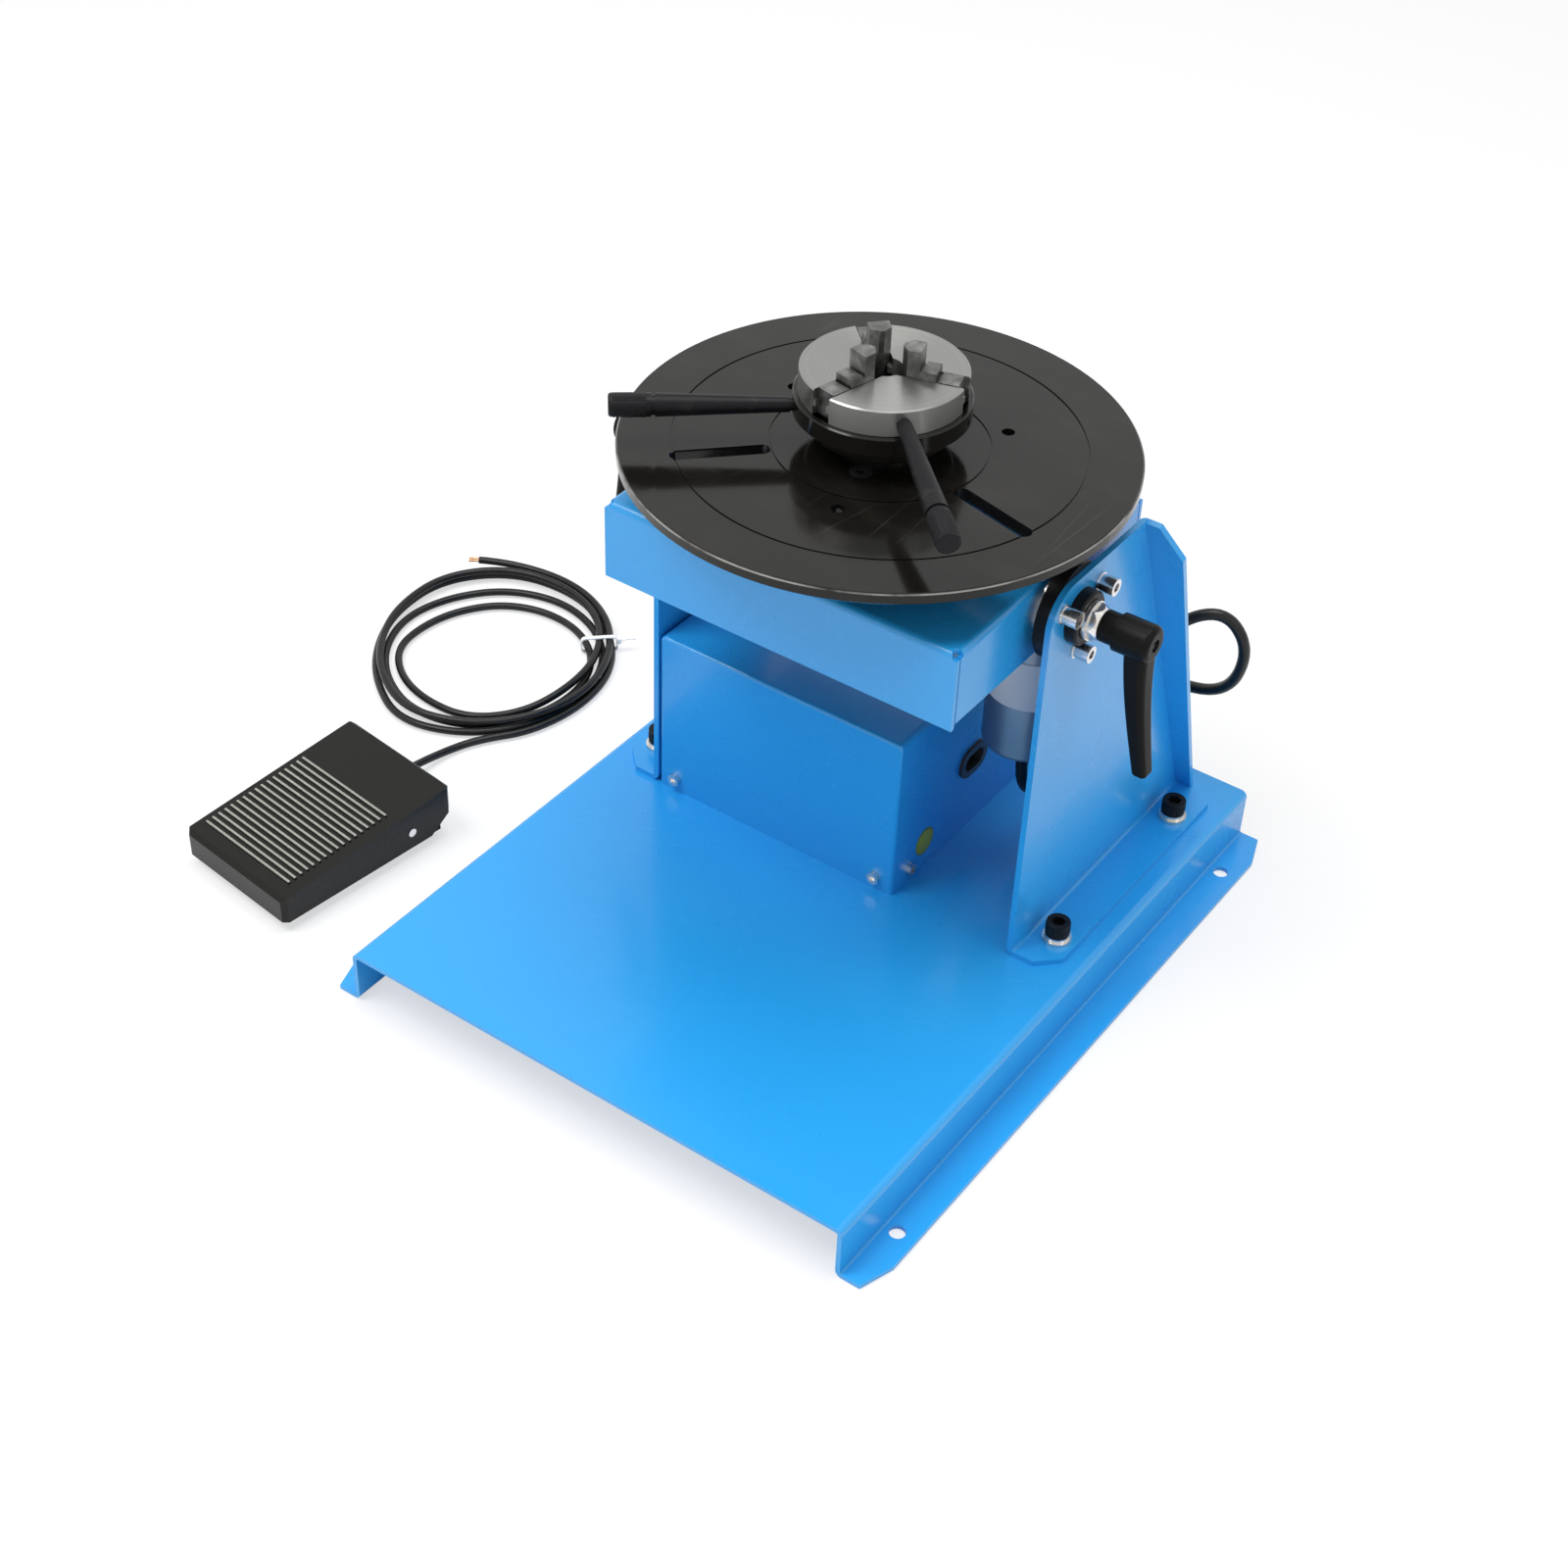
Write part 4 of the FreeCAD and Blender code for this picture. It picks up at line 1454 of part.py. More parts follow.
def main():
    os.makedirs("parts", exist_ok=True)
    right = bracket()
    save("base_plate", base_plate())
    save("bracket_right", right)
    save("bracket_left", mirrored(right))
    save("bracket_bolts", bracket_bolts())
    save("bracket_nuts_washers", bracket_nuts_washers())
    flange = pivot_flange()
    save("pivot_flange_right", flange)
    save("pivot_flange_left", mirrored(flange))
    save("pivot_flange_screws", pivot_flange_screws())
    save("pivot_studs", pivot_studs())
    save("thrust_washers", thrust_washers())
    save("stud_nuts", stud_nuts())
    lever, insert = clamp_lever(), lever_insert()
    save("clamp_lever_right", lever)
    save("clamp_lever_left", mirrored(lever))
    save("lever_insert_right", insert)
    save("lever_insert_left", mirrored(insert))
    save("tilt_yoke", tilt_yoke())
    save("bearing_housing", bearing_housing())
    save("bearing_outer_rings", bearing_outer_rings())
    save("bearing_inner_rings", bearing_inner_rings())
    save("spindle", spindle())
    save("spindle_gear", spindle_gear())
    save("spindle_locknut", spindle_locknut())
    save("motor_plate", motor_plate())
    save("head_fasteners", head_fasteners())
    save("gearbox", gearbox())
    save("motor_can", motor_can())
    save("motor_end_cap", motor_end_cap())
    save("motor_pinion", motor_pinion())
    save("faceplate", faceplate())
    save("faceplate_screws", faceplate_screws())
    save("chuck_back_plate", chuck_back_plate())
    save("scroll_ring", scroll_ring())
    save("chuck_bar_scroll", lever_bar(*bar_hole(RING_BAR_ANGLE, ring_bar_z(), RING_R, 0)))
    save("chuck_body", chuck_body())
    save("chuck_bar_body", lever_bar(*bar_hole(BODY_BAR_ANGLE, body_bar_z(), CHUCK_R, BAR_DROOP)))
    for number, angle in enumerate(JAW_ANGLES, 1):
        save("jaw_%d" % number, chuck_jaw(angle))
    save("box_cover", box_cover())
    save("rear_panel", rear_panel())
    save("box_fasteners", box_fasteners())
    save("control_board", control_board())
    save("power_supply", power_supply())
    save("panel_fittings", panel_fittings())
    save("speed_knob", speed_knob())
    save("direction_toggle", direction_toggle())
    save("power_rocker", power_rocker())
    save("cable_gland", cable_gland())
    save("lead_grommet", lead_grommet())
    save("motor_cable", motor_cable())
    save("pedal_treadle", at_pedal(pedal_treadle()))
    save("pedal_base", at_pedal(pedal_base()))
    save("pedal_pin", at_pedal(pedal_pin()))
    save("pedal_feet", at_pedal(pedal_feet()))
    save("pedal_spring", pedal_spring())
    save("pedal_switch", at_pedal(pedal_switch()))
    save("pedal_plunger", at_pedal(pedal_plunger()))
    save("pedal_cord", pedal_cord())
    save("cord_cores", cord_cores())
    save("cord_tie", cord_tie())


main()
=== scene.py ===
"""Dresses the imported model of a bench-top welding positioner with its finishes and small pieces."""

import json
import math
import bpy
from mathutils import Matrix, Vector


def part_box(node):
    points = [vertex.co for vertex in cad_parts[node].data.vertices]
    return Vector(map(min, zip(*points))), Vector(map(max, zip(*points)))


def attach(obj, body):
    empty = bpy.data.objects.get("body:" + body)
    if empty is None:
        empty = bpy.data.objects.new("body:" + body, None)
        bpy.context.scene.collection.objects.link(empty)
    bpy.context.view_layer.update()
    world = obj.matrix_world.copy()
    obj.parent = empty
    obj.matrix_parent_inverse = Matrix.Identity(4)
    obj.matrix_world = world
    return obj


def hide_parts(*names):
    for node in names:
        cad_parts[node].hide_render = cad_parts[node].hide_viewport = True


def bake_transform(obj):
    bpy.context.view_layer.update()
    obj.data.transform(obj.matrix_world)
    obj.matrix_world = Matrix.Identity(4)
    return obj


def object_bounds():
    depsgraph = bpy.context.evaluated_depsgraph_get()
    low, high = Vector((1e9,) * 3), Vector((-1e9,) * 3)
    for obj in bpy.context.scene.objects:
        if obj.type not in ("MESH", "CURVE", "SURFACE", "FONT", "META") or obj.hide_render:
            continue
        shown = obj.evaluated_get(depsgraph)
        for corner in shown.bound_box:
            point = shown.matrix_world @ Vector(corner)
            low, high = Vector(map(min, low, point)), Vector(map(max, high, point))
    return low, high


bl_info = {
    "name": "Welding positioner",
    "version": (1, 0, 0),
    "blender": (4, 5, 0),
    "location": "View3D > Sidebar > Positioner",
    "description": "Finishes, cords and small pieces of a bench-top welding positioner",
    "category": "Object",
}

import bmesh
import bpy
from bpy.props import FloatProperty, FloatVectorProperty, IntProperty, PointerProperty
from mathutils import Matrix, Vector
from mathutils.kdtree import KDTree

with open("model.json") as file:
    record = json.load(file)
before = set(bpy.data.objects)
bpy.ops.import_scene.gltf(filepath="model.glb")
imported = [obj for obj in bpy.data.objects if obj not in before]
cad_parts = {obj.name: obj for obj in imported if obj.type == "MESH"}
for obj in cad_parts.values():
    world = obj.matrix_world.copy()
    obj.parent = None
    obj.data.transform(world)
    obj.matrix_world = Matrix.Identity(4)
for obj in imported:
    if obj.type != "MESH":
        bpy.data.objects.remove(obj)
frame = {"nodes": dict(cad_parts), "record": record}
CAD_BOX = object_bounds()
MM = 0.001


# ---- places given, and read from the model ------------------------------------------------------------
def middle(node):
    low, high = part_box(node)
    return (low + high) / 2


def top_of(node):
    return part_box(node)[1].z


PEDAL_FRONT = (-202.0, -143.2)
PEDAL_TURN = math.radians(-7.1)
TREAD_START = (PEDAL_FRONT[0] * MM, PEDAL_FRONT[1] * MM, 18.0 * MM)
TREAD_SLOPE = 8.5 / 93.0
TABLE_AXIS = middle("faceplate")
MOTOR_AXIS = middle("motor_can")
FLOOR_Z = CAD_BOX[0].z


# ---- settings -----------------------------------------------------------------------------------------
def length_property(name, description, millimetres):
    return FloatProperty(name=name, description=description, default=millimetres * MM,
                         min=0.0, subtype="DISTANCE", unit="LENGTH", precision=4)


def colour_property(name, description, rgb):
    return FloatVectorProperty(name=name, description=description, default=rgb, size=3,
                               min=0.0, max=1.0, subtype="COLOR")


class PaintSettings(bpy.types.PropertyGroup):
    """Colours of the painted and moulded parts."""
    sheet_blue: colour_property("Sheet blue", "Paint of the folded sheet parts", (0.020, 0.345, 0.790))
    plate_black: colour_property("Plate black", "Blackened steel of the faceplate", (0.007, 0.0065, 0.0055))
    lever_black: colour_property("Lever black", "Coating of the clamp levers", (0.006, 0.006, 0.006))
    pedal_black: colour_property("Pedal black", "Moulding of the foot pedal", (0.007, 0.007, 0.006))
    cable_black: colour_property("Cable black", "Sheath of the cords", (0.006, 0.006, 0.006))
    earth_yellow: colour_property("Earth yellow", "Bare earth disc", (0.400, 0.430, 0.030))
    label_white: colour_property("Label white", "Bare band on the motor", (0.600, 0.630, 0.650))


class CordSettings(bpy.types.PropertyGroup):
    """Sizes of the two cords."""
    pedal_radius: length_property("Pedal cord radius", "Half the width of the pedal's cord", 1.8)
    motor_radius: length_property("Motor cable radius", "Half the width of the motor's cable", 2.6)


class TrimSettings(bpy.types.PropertyGroup):
    """Sizes of the small pieces."""
    band_bottom: length_property("Band bottom", "Lower edge of the motor's band above the can's tail", 27.0)
    band_height: length_property("Band height", "Height of the motor's band", 23.0)
    band_gap: length_property("Band thickness", "How far the band stands off the can", 0.25)
    earth_radius: length_property("Earth disc radius", "Radius of the bare earth disc", 6.5)
    knurl_count: IntProperty(name="Knurl count", description="Studs round a bar's grip", default=26, min=8, max=60)
    knurl_depth: length_property("Knurl depth", "Height of a grip's studs", 0.25)
    flute_count: IntProperty(name="Flute count", description="Ridges round a bolt's head", default=30, min=8, max=60)
    sleeve_length: length_property("Sleeve length", "Length of the sleeves where the cords come out", 20.0)
    tie_width: length_property("Tie width", "Width of the tie round the coil", 2.2)
    tie_thickness: length_property("Tie thickness", "Thickness of the tie's strap", 0.6)
    tick_count: IntProperty(name="Tick count", description="Marks round the speed knob", default=11, min=3, max=31)
    tick_length: length_property("Tick length", "Length of a mark round the speed knob", 2.0)


class StageSettings(bpy.types.PropertyGroup):
    """Where the scene is looked at from, and its light."""
    eye: FloatVectorProperty(name="Eye", description="Place of the camera", size=3, subtype="TRANSLATION",
                             unit="LENGTH", default=(0.4325, -0.6688, 0.7282))
    turn: FloatProperty(name="Turn", description="Compass angle of the camera", default=math.radians(34.1),
                        subtype="ANGLE")
    rise: FloatProperty(name="Rise", description="Height angle of the camera", default=math.radians(39.55),
                        subtype="ANGLE")
    roll: FloatProperty(name="Roll", description="Roll of the camera", default=math.radians(2.42),
                        subtype="ANGLE")
    lens: FloatProperty(name="Lens", description="Focal length in millimetres", default=57.79, min=1.0)
    sky: FloatProperty(name="Sky", description="Strength of the light from all round", default=0.52, min=0.0)


# ---- shader arithmetic --------------------------------------------------------------------------------
class Wire:
    """The output of a node. Sums written on it add the nodes that work them out."""

    def __init__(self, finish, socket):
        self.finish = finish
        self.socket = socket

    def _sum(self, operation, *values, clamp=False):
        return self.finish.node("ShaderNodeMath", {"operation": operation, "use_clamp": clamp}, list(values))

    def __add__(self, other):
        return self._sum("ADD", self, other)

    __radd__ = __add__

    def __sub__(self, other):
        return self._sum("SUBTRACT", self, other)

    def __rsub__(self, other):
        return self._sum("SUBTRACT", other, self)

    def __mul__(self, other):
        return self._sum("MULTIPLY", self, other)

    __rmul__ = __mul__

    def __pow__(self, other):
        return self._sum("POWER", self, other)

    def held(self):
        return self._sum("ADD", self, 0.0, clamp=True)

    def between(self, low, high):
        """0 below low, 1 above high, and smooth in between."""
        return self.finish.node("ShaderNodeMapRange", {"interpolation_type": "SMOOTHSTEP"},
                                {"Value": self, "From Min": low, "From Max": high})


class Finish:
    """One material, built up from object coordinates."""

    def __init__(self, name):
        self.material = bpy.data.materials.new(name)
        self.material.use_nodes = True
        self.tree = self.material.node_tree
        self.shader = self.tree.nodes["Principled BSDF"]
        self.coordinates = self.tree.nodes.new("ShaderNodeTexCoord")

    def node(self, kind, settings=None, values=None, out=0):
        made = self.tree.nodes.new(kind)
        for key, value in (settings or {}).items():
            setattr(made, key, value)
        pairs = values.items() if isinstance(values, dict) else enumerate(values or [])
        for key, value in pairs:
            self.feed(made.inputs[key], value)
        return Wire(self, made.outputs[out])

    def feed(self, socket, value):
        if isinstance(value, Wire):
            self.tree.links.new(value.socket, socket)
        elif hasattr(socket.default_value, "__len__") and len(socket.default_value) == 4 and len(value) == 3:
            socket.default_value = (*value, 1.0)
        else:
            socket.default_value = value

    def place(self, stretch=(1, 1, 1), centre=(0, 0, 0), turn=(0, 0, 0)):
        """Object coordinates, moved to a centre, then turned and stretched."""
        moved = self.node("ShaderNodeVectorMath", {"operation": "SUBTRACT"},
                          [Wire(self, self.coordinates.outputs["Object"]), tuple(centre)])
        return self.node("ShaderNodeMapping", {"vector_type": "POINT"},
                         {"Vector": moved, "Rotation": turn, "Scale": stretch})

    def axes(self, vector):
        split = self.tree.nodes.new("ShaderNodeSeparateXYZ")
        self.feed(split.inputs[0], vector)
        return [Wire(self, split.outputs[i]) for i in range(3)]

    def radius(self, centre):
        x, y, _ = self.axes(self.place(centre=centre))
        return (x * x + y * y) ** 0.5

    def noise(self, scale, detail=3.0, roughness=0.55, at=None, **place):
        at = at or self.place(**place)
        return self.node("ShaderNodeTexNoise", None,
                         {"Vector": at, "Scale": scale, "Detail": detail, "Roughness": roughness})

    def cells(self, scale, at=None, feature="F1", **place):
        at = at or self.place(**place)
        return self.node("ShaderNodeTexVoronoi", {"feature": feature}, {"Vector": at, "Scale": scale})

    def blend(self, share, first, second):
        return self.node("ShaderNodeMix", {"data_type": "RGBA"}, {0: share, 6: first, 7: second}, out=2)

    def relief(self, height, depth, strength=1.0, under=None):
        values = {"Height": height, "Distance": depth, "Strength": strength}
        if under is not None:
            values["Normal"] = under
        return self.node("ShaderNodeBump", None, values)

    def wear(self, **sockets):
        """Feeds the shader, with underscores in place of the spaces in its sockets' names."""
        for key, value in sockets.items():
            self.feed(self.shader.inputs[key.replace("_", " ").title().replace("Ior", "IOR")], value)
        return self.material


def tinted(rgb, factor):
    return tuple(min(1.0, c * factor) for c in rgb)


# ---- finishes -----------------------------------------------------------------------------------------
def blue_paint(name, rgb):
    """Glossy powder coat with a faint orange peel and slightly uneven cover."""
    f = Finish(name)
    cloud = f.noise(7.0, 2.0)
    peel = f.noise(150.0, 1.0, 0.3)
    colour = f.blend(cloud, tinted(rgb, 0.97), tinted(rgb, 1.03))
    return f.wear(base_color=colour, roughness=f.noise(25.0) * 0.05 + 0.25,
                  coat_weight=0.2, coat_roughness=0.1, normal=f.relief(peel, 0.00002, 0.2))


def black_plate(name, rgb):
    """Oiled black steel with turning marks, wiped smears and fine scratches round its axis, and a painted highlight on
    the chamfer of its rim.
    """
    f = Finish(name)
    r = f.radius(TABLE_AXIS)
    _, _, z = f.axes(f.place())
    lathe = f.noise(1.0, 6.0, 0.75, at=f.node("ShaderNodeCombineXYZ", None, [r * 2600.0, 0.0, 0.0]))
    smear = f.noise(26.0, 5.0, 0.62, stretch=(1.0, 2.2, 1.0), centre=TABLE_AXIS)
    grain = f.noise(900.0, 3.0, 0.6)
    scratch = f.cells(34.0, feature="DISTANCE_TO_EDGE", centre=TABLE_AXIS, stretch=(1.0, 0.12, 1.0), turn=(0, 0, 0.6))
    line = 1.0 - scratch.between(0.0, 0.006)
    scratches = line * f.noise(11.0).between(0.52, 0.66)
    haze = smear.between(0.42, 0.74)
    colour = f.blend(haze, rgb, tinted(rgb, 1.7))
    colour = f.blend(scratches * 0.25, colour, (0.11, 0.10, 0.09))
    top = top_of("faceplate")
    # rim: a lighter grey painted on the chamfer, broken up by noise, is a painted highlight where the edge catches the
    # light.
    rim = r.between(0.09935, 0.0998) * z.between(top - 0.0010, top - 0.0006) * f.noise(60.0).between(0.25, 0.6)
    colour = f.blend(rim * 0.75, colour, (0.42, 0.41, 0.39))
    marks = f.relief(lathe, 0.00004, 0.22, f.relief(grain, 0.00004, 0.18))
    return f.wear(base_color=colour, roughness=haze * 0.10 + 0.08 + grain * 0.05, metallic=0.0,
                  coat_weight=0.1, coat_roughness=0.05, specular_ior_level=0.24, normal=marks)


def turned_steel(name, rgb):
    """Bright steel that was faced on a lathe, with rings that catch the light across them."""
    f = Finish(name)
    r = f.radius(TABLE_AXIS)
    _, _, z = f.axes(f.place(centre=TABLE_AXIS))
    fine = f.noise(1.0, 4.0, 0.8, at=f.node("ShaderNodeCombineXYZ", None, [r * 2600.0, z * 900.0, 0.0]))
    broad = f.noise(1.0, 2.0, 0.5, at=f.node("ShaderNodeCombineXYZ", None, [r * 700.0, 0.0, 3.0]))
    stain = f.noise(48.0, 5.0, 0.6).between(0.55, 0.8)
    colour = f.blend(broad, tinted(rgb, 0.42), tinted(rgb, 0.62))
    colour = f.blend(stain * 0.35, colour, (0.20, 0.18, 0.15))
    return f.wear(base_color=colour, metallic=1.0, roughness=broad * 0.08 + 0.26 + stain * 0.1,
                  anisotropic=0.8, anisotropic_rotation=0.25, normal=f.relief(fine, 0.00003, 0.3))


def ground_steel(name, rgb):
    """Hardened steel with straight grinding marks and dull patches."""
    f = Finish(name)
    streak = f.noise(1.0, 4.0, 0.7, stretch=(4200.0, 340.0, 160.0))
    patch = f.noise(110.0, 5.0, 0.65)
    colour = f.blend(patch.between(0.35, 0.7), tinted(rgb, 0.30), tinted(rgb, 0.72))
    return f.wear(base_color=colour, metallic=1.0, roughness=patch * 0.2 + 0.28,
                  normal=f.relief(streak, 0.00006, 0.4))


def black_oxide(name, rgb, wear=1.0):
    """Black oxide on steel: satin, with rubbed lighter spots."""
    f = Finish(name)
    patch = f.noise(120.0, 6.0, 0.65)
    pits = f.noise(1500.0, 3.0, 0.5)
    rubbed = patch.between(0.52, 0.78)
    # wear lifts the whole colour, not only the rubbed spots; at 2.6, on the faceplate's screws, the lift is a painted
    # highlight.
    colour = f.blend(rubbed * 0.5, tinted(rgb, 0.28 * wear), tinted((0.040, 0.039, 0.036), wear))
    return f.wear(base_color=colour, metallic=0.1, roughness=0.36 - rubbed * 0.10 + pits * 0.08,
                  specular_ior_level=0.14, normal=f.relief(pits, 0.00004, 0.35))


def zinc_plate(name, rgb):
    """Bright zinc with a faint blue and yellow passivation."""
    f = Finish(name)
    tone = f.noise(110.0, 4.0, 0.6)
    red, green, blue = rgb
    bluish, yellowish = (red, green, blue * 1.04), (red, green * 0.95, blue * 0.84)
    colour = f.blend(tone.between(0.35, 0.7), bluish, yellowish)
    spangle = f.cells(800.0)
    return f.wear(base_color=colour, metallic=1.0, roughness=tone * 0.14 + 0.18,
                  normal=f.relief(spangle, 0.00003, 0.3))


def coated_casting(name, rgb):
    """A die casting under fine-grained powder coat."""
    f = Finish(name)
    grain = f.noise(1300.0, 3.0, 0.6)
    worn = f.noise(160.0, 5.0, 0.7).between(0.60, 0.78)
    return f.wear(base_color=f.blend(worn * 0.4, rgb, tinted(rgb, 2.6)), roughness=grain * 0.12 + 0.30,
                  specular_ior_level=0.08, normal=f.relief(grain, 0.00008, 0.3))


def moulded_plastic(name, rgb, shine=0.36):
    """Moulded plastic with a spark-eroded grain and rubbed places."""
    f = Finish(name)
    grain = f.cells(1500.0)
    rubbed = f.noise(45.0, 5.0, 0.6).between(0.5, 0.75)
    return f.wear(base_color=f.blend(rubbed * 0.5, rgb, tinted(rgb, 1.7)),
                  roughness=shine - rubbed * 0.06 + grain * 0.05, specular_ior_level=0.25,
                  normal=f.relief(grain, 0.00004, 0.25))


def tread_plastic(name, rgb, start, turn, slope):
    """The pedal's moulding, with a painted highlight: a grey painted on the tops of its ribs."""
    f = Finish(name)
    grain = f.cells(1500.0)
    _, y, z = f.axes(f.place(centre=start, turn=(0, 0, -turn)))
    height = z - y * slope
    # rib marks the tops of the ribs; the grey blended in there is a painted highlight, and it also raises the
    # roughness there.
    rib = height.between(0.0004, 0.0007) * (0.6 + f.noise(500.0, 4.0, 0.6) * 0.6)
    rubbed = f.noise(45.0, 5.0, 0.6).between(0.5, 0.75)
    colour = f.blend(rubbed * 0.4, rgb, tinted(rgb, 1.6))
    colour = f.blend(rib.held(), colour, (0.36, 0.355, 0.32))
    return f.wear(base_color=colour, roughness=0.24 - rubbed * 0.06 + grain * 0.05 + rib * 0.08,
                  specular_ior_level=0.22, normal=f.relief(grain, 0.00004, 0.25))


def soft_rubber(name, rgb):
    """A rubber sheath with a slight bloom and a fine extruded skin."""
    f = Finish(name)
    bloom = f.noise(150.0, 4.0, 0.6)
    skin = f.noise(1800.0, 2.0, 0.5)
    return f.wear(base_color=f.blend(bloom.between(0.4, 0.75), rgb, tinted(rgb, 2.0)), roughness=bloom * 0.14 + 0.26,
                  specular_ior_level=0.3, normal=f.relief(skin, 0.00004, 0.3))


def plated_case(name, rgb):
    """A drawn and plated can with faint vertical draw lines."""
    f = Finish(name)
    x, y, z = f.axes(f.place(centre=MOTOR_AXIS))
    angle = f.node("ShaderNodeMath", {"operation": "ARCTAN2"}, [y, x])
    lines = f.noise(1.0, 4.0, 0.7, at=f.node("ShaderNodeCombineXYZ", None, [angle * 60.0, z * 60.0, 0.0]))
    patch = f.noise(50.0, 4.0)
    return f.wear(base_color=f.blend(patch, tinted(rgb, 0.38), tinted(rgb, 0.52)), metallic=0.9,
                  roughness=patch * 0.12 + 0.30, normal=f.relief(lines, 0.00004, 0.3))


def paper_label(name, rgb):
    """A plain printed-paper band with soft fibres."""
    f = Finish(name)
    fibre = f.noise(700.0, 4.0, 0.7)
    return f.wear(base_color=f.blend(fibre, tinted(rgb, 0.93), rgb), roughness=fibre * 0.1 + 0.45,
                  normal=f.relief(fibre, 0.00002, 0.3))


def printed_disc(name, rgb, centre, radius):
    """A plain disc sticker with a darker printed edge."""
    f = Finish(name)
    _, y, z = f.axes(f.place(centre=centre))
    r = (y * y + z * z) ** 0.5
    edge = r.between(radius * 0.86, radius * 0.90)
    fibre = f.noise(500.0, 3.0)
    colour = f.blend(edge * 0.6, f.blend(fibre, tinted(rgb, 0.9), tinted(rgb, 1.05)), tinted(rgb, 0.35))
    return f.wear(base_color=colour, roughness=fibre * 0.08 + 0.38)


def circuit_board(name, rgb):
    """Solder mask with a pattern of tracks under it."""
    f = Finish(name)
    tracks = f.cells(260.0, feature="DISTANCE_TO_EDGE").between(0.04, 0.09)
    return f.wear(base_color=f.blend(tracks, tinted(rgb, 1.6), rgb), roughness=0.3 + tracks * 0.08,
                  normal=f.relief(tracks, 0.00003, 0.4))


def drawn_wire(name, rgb):
    """Stranded wire: fine twisted ridges."""
    f = Finish(name)
    strand = f.noise(1.0, 2.0, 0.5, stretch=(900.0, 3800.0, 3800.0))
    return f.wear(base_color=f.blend(strand, tinted(rgb, 0.6), rgb), metallic=1.0, roughness=strand * 0.2 + 0.25,
                  normal=f.relief(strand, 0.00006, 0.6))


def slot_colour(slot):
    for material in frame["record"]["materials"]:
        if material["slot"] == slot:
            return tuple(material["base_color"][:3])
    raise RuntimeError("no slot named " + slot)


# ---- modelling helpers --------------------------------------------------------------------------------
def clear_selection():
    if bpy.context.object and bpy.context.object.mode != "OBJECT":
        bpy.ops.object.mode_set(mode="OBJECT")
    bpy.ops.object.select_all(action="DESELECT")


def named(piece, name, finish, body):
    """Names a piece, gives it its finish and slot, and lets it ride on its body."""
    piece.name = name
    piece.data.name = name
    piece.data.materials.clear()
    piece.data.materials.append(finish)
    settle(piece)
    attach(piece, body)
    return piece


def settle(piece):
    """Moves a piece's place into its mesh."""
    clear_selection()
    piece.select_set(True)
    bpy.context.view_layer.objects.active = piece
    bpy.ops.object.transform_apply(location=True, rotation=True, scale=True)


def pick(piece, kind, test):
    """Selects in edit mode the faces or edges whose middle passes the test, and nothing else."""
    bpy.context.view_layer.objects.active = piece
    piece.select_set(True)
    bpy.ops.object.mode_set(mode="EDIT")
    bpy.ops.mesh.select_mode(type="FACE" if kind == "faces" else "EDGE")
    bpy.ops.mesh.select_all(action="DESELECT")
    mesh = bmesh.from_edit_mesh(piece.data)
    for part in getattr(mesh, kind):
        spot = sum((v.co for v in part.verts), Vector()) / len(part.verts)
        if test(spot, part):
            part.select_set(True)
    mesh.select_flush_mode()
    bmesh.update_edit_mesh(piece.data)


def done(piece):
    bpy.ops.object.mode_set(mode="OBJECT")
    return piece


def apply_modifier(piece, kind, **settings):
    clear_selection()
    piece.select_set(True)
    bpy.context.view_layer.objects.active = piece
    modifier = piece.modifiers.new(kind.title(), kind)
    for key, value in settings.items():
        setattr(modifier, key, value)
    bpy.ops.object.modifier_apply(modifier=modifier.name)


def round_piece(radius, depth, spot, axis=(0, 0, 1), sides=48):
    """A cylinder with its axis along the given direction."""
    clear_selection()
    turn = Vector((0, 0, 1)).rotation_difference(Vector(axis)).to_euler()
    bpy.ops.mesh.primitive_cylinder_add(vertices=sides, radius=radius, depth=depth, location=spot, rotation=turn)
    piece = bpy.context.object
    settle(piece)
    return piece


def shade(piece, degrees=35):
    clear_selection()
    piece.select_set(True)
    bpy.context.view_layer.objects.active = piece
    bpy.ops.object.shade_smooth_by_angle(angle=math.radians(degrees))


def cord_line(name, points, radius, sides=5):
    """A cord on a smooth open line, with the route's points as control points."""
    line = bpy.data.curves.new(name, "CURVE")
    line.dimensions = "3D"
    spline = line.splines.new("NURBS")
    spline.points.add(len(points) - 1)
    for point, spot in zip(spline.points, points):
        point.co = (*spot, 1.0)
    spline.order_u = 3
    spline.use_endpoint_u = True
    line.resolution_u = 8
    line.bevel_depth = radius
    line.bevel_resolution = sides
    line.use_fill_caps = True
    piece = bpy.data.objects.new(name, line)
    bpy.context.scene.collection.objects.link(piece)
    return piece


def centre_line(piece):
    """The points of a curve's own smooth line, without its thickness."""
    depth = piece.data.bevel_depth
    piece.data.bevel_depth = 0.0
    bpy.context.view_layer.update()
    held = piece.evaluated_get(bpy.context.evaluated_depsgraph_get())
    mesh = bpy.data.meshes.new_from_object(held)
    points = [v.co.copy() for v in mesh.vertices]
    bpy.data.meshes.remove(mesh)
    piece.data.bevel_depth = depth
    return points


def cord_tube(name, points, radius):
    """A cord as a mesh tube, and the points of the line that it follows."""
    line = cord_line(name, points, radius)
    path = centre_line(line)
    clear_selection()
    line.select_set(True)
    bpy.context.view_layer.objects.active = line
    bpy.ops.object.convert(target="MESH")
    tube = bpy.context.object
    tube.data.materials.append(finish_named("cable_sheath"))
    return tube, path


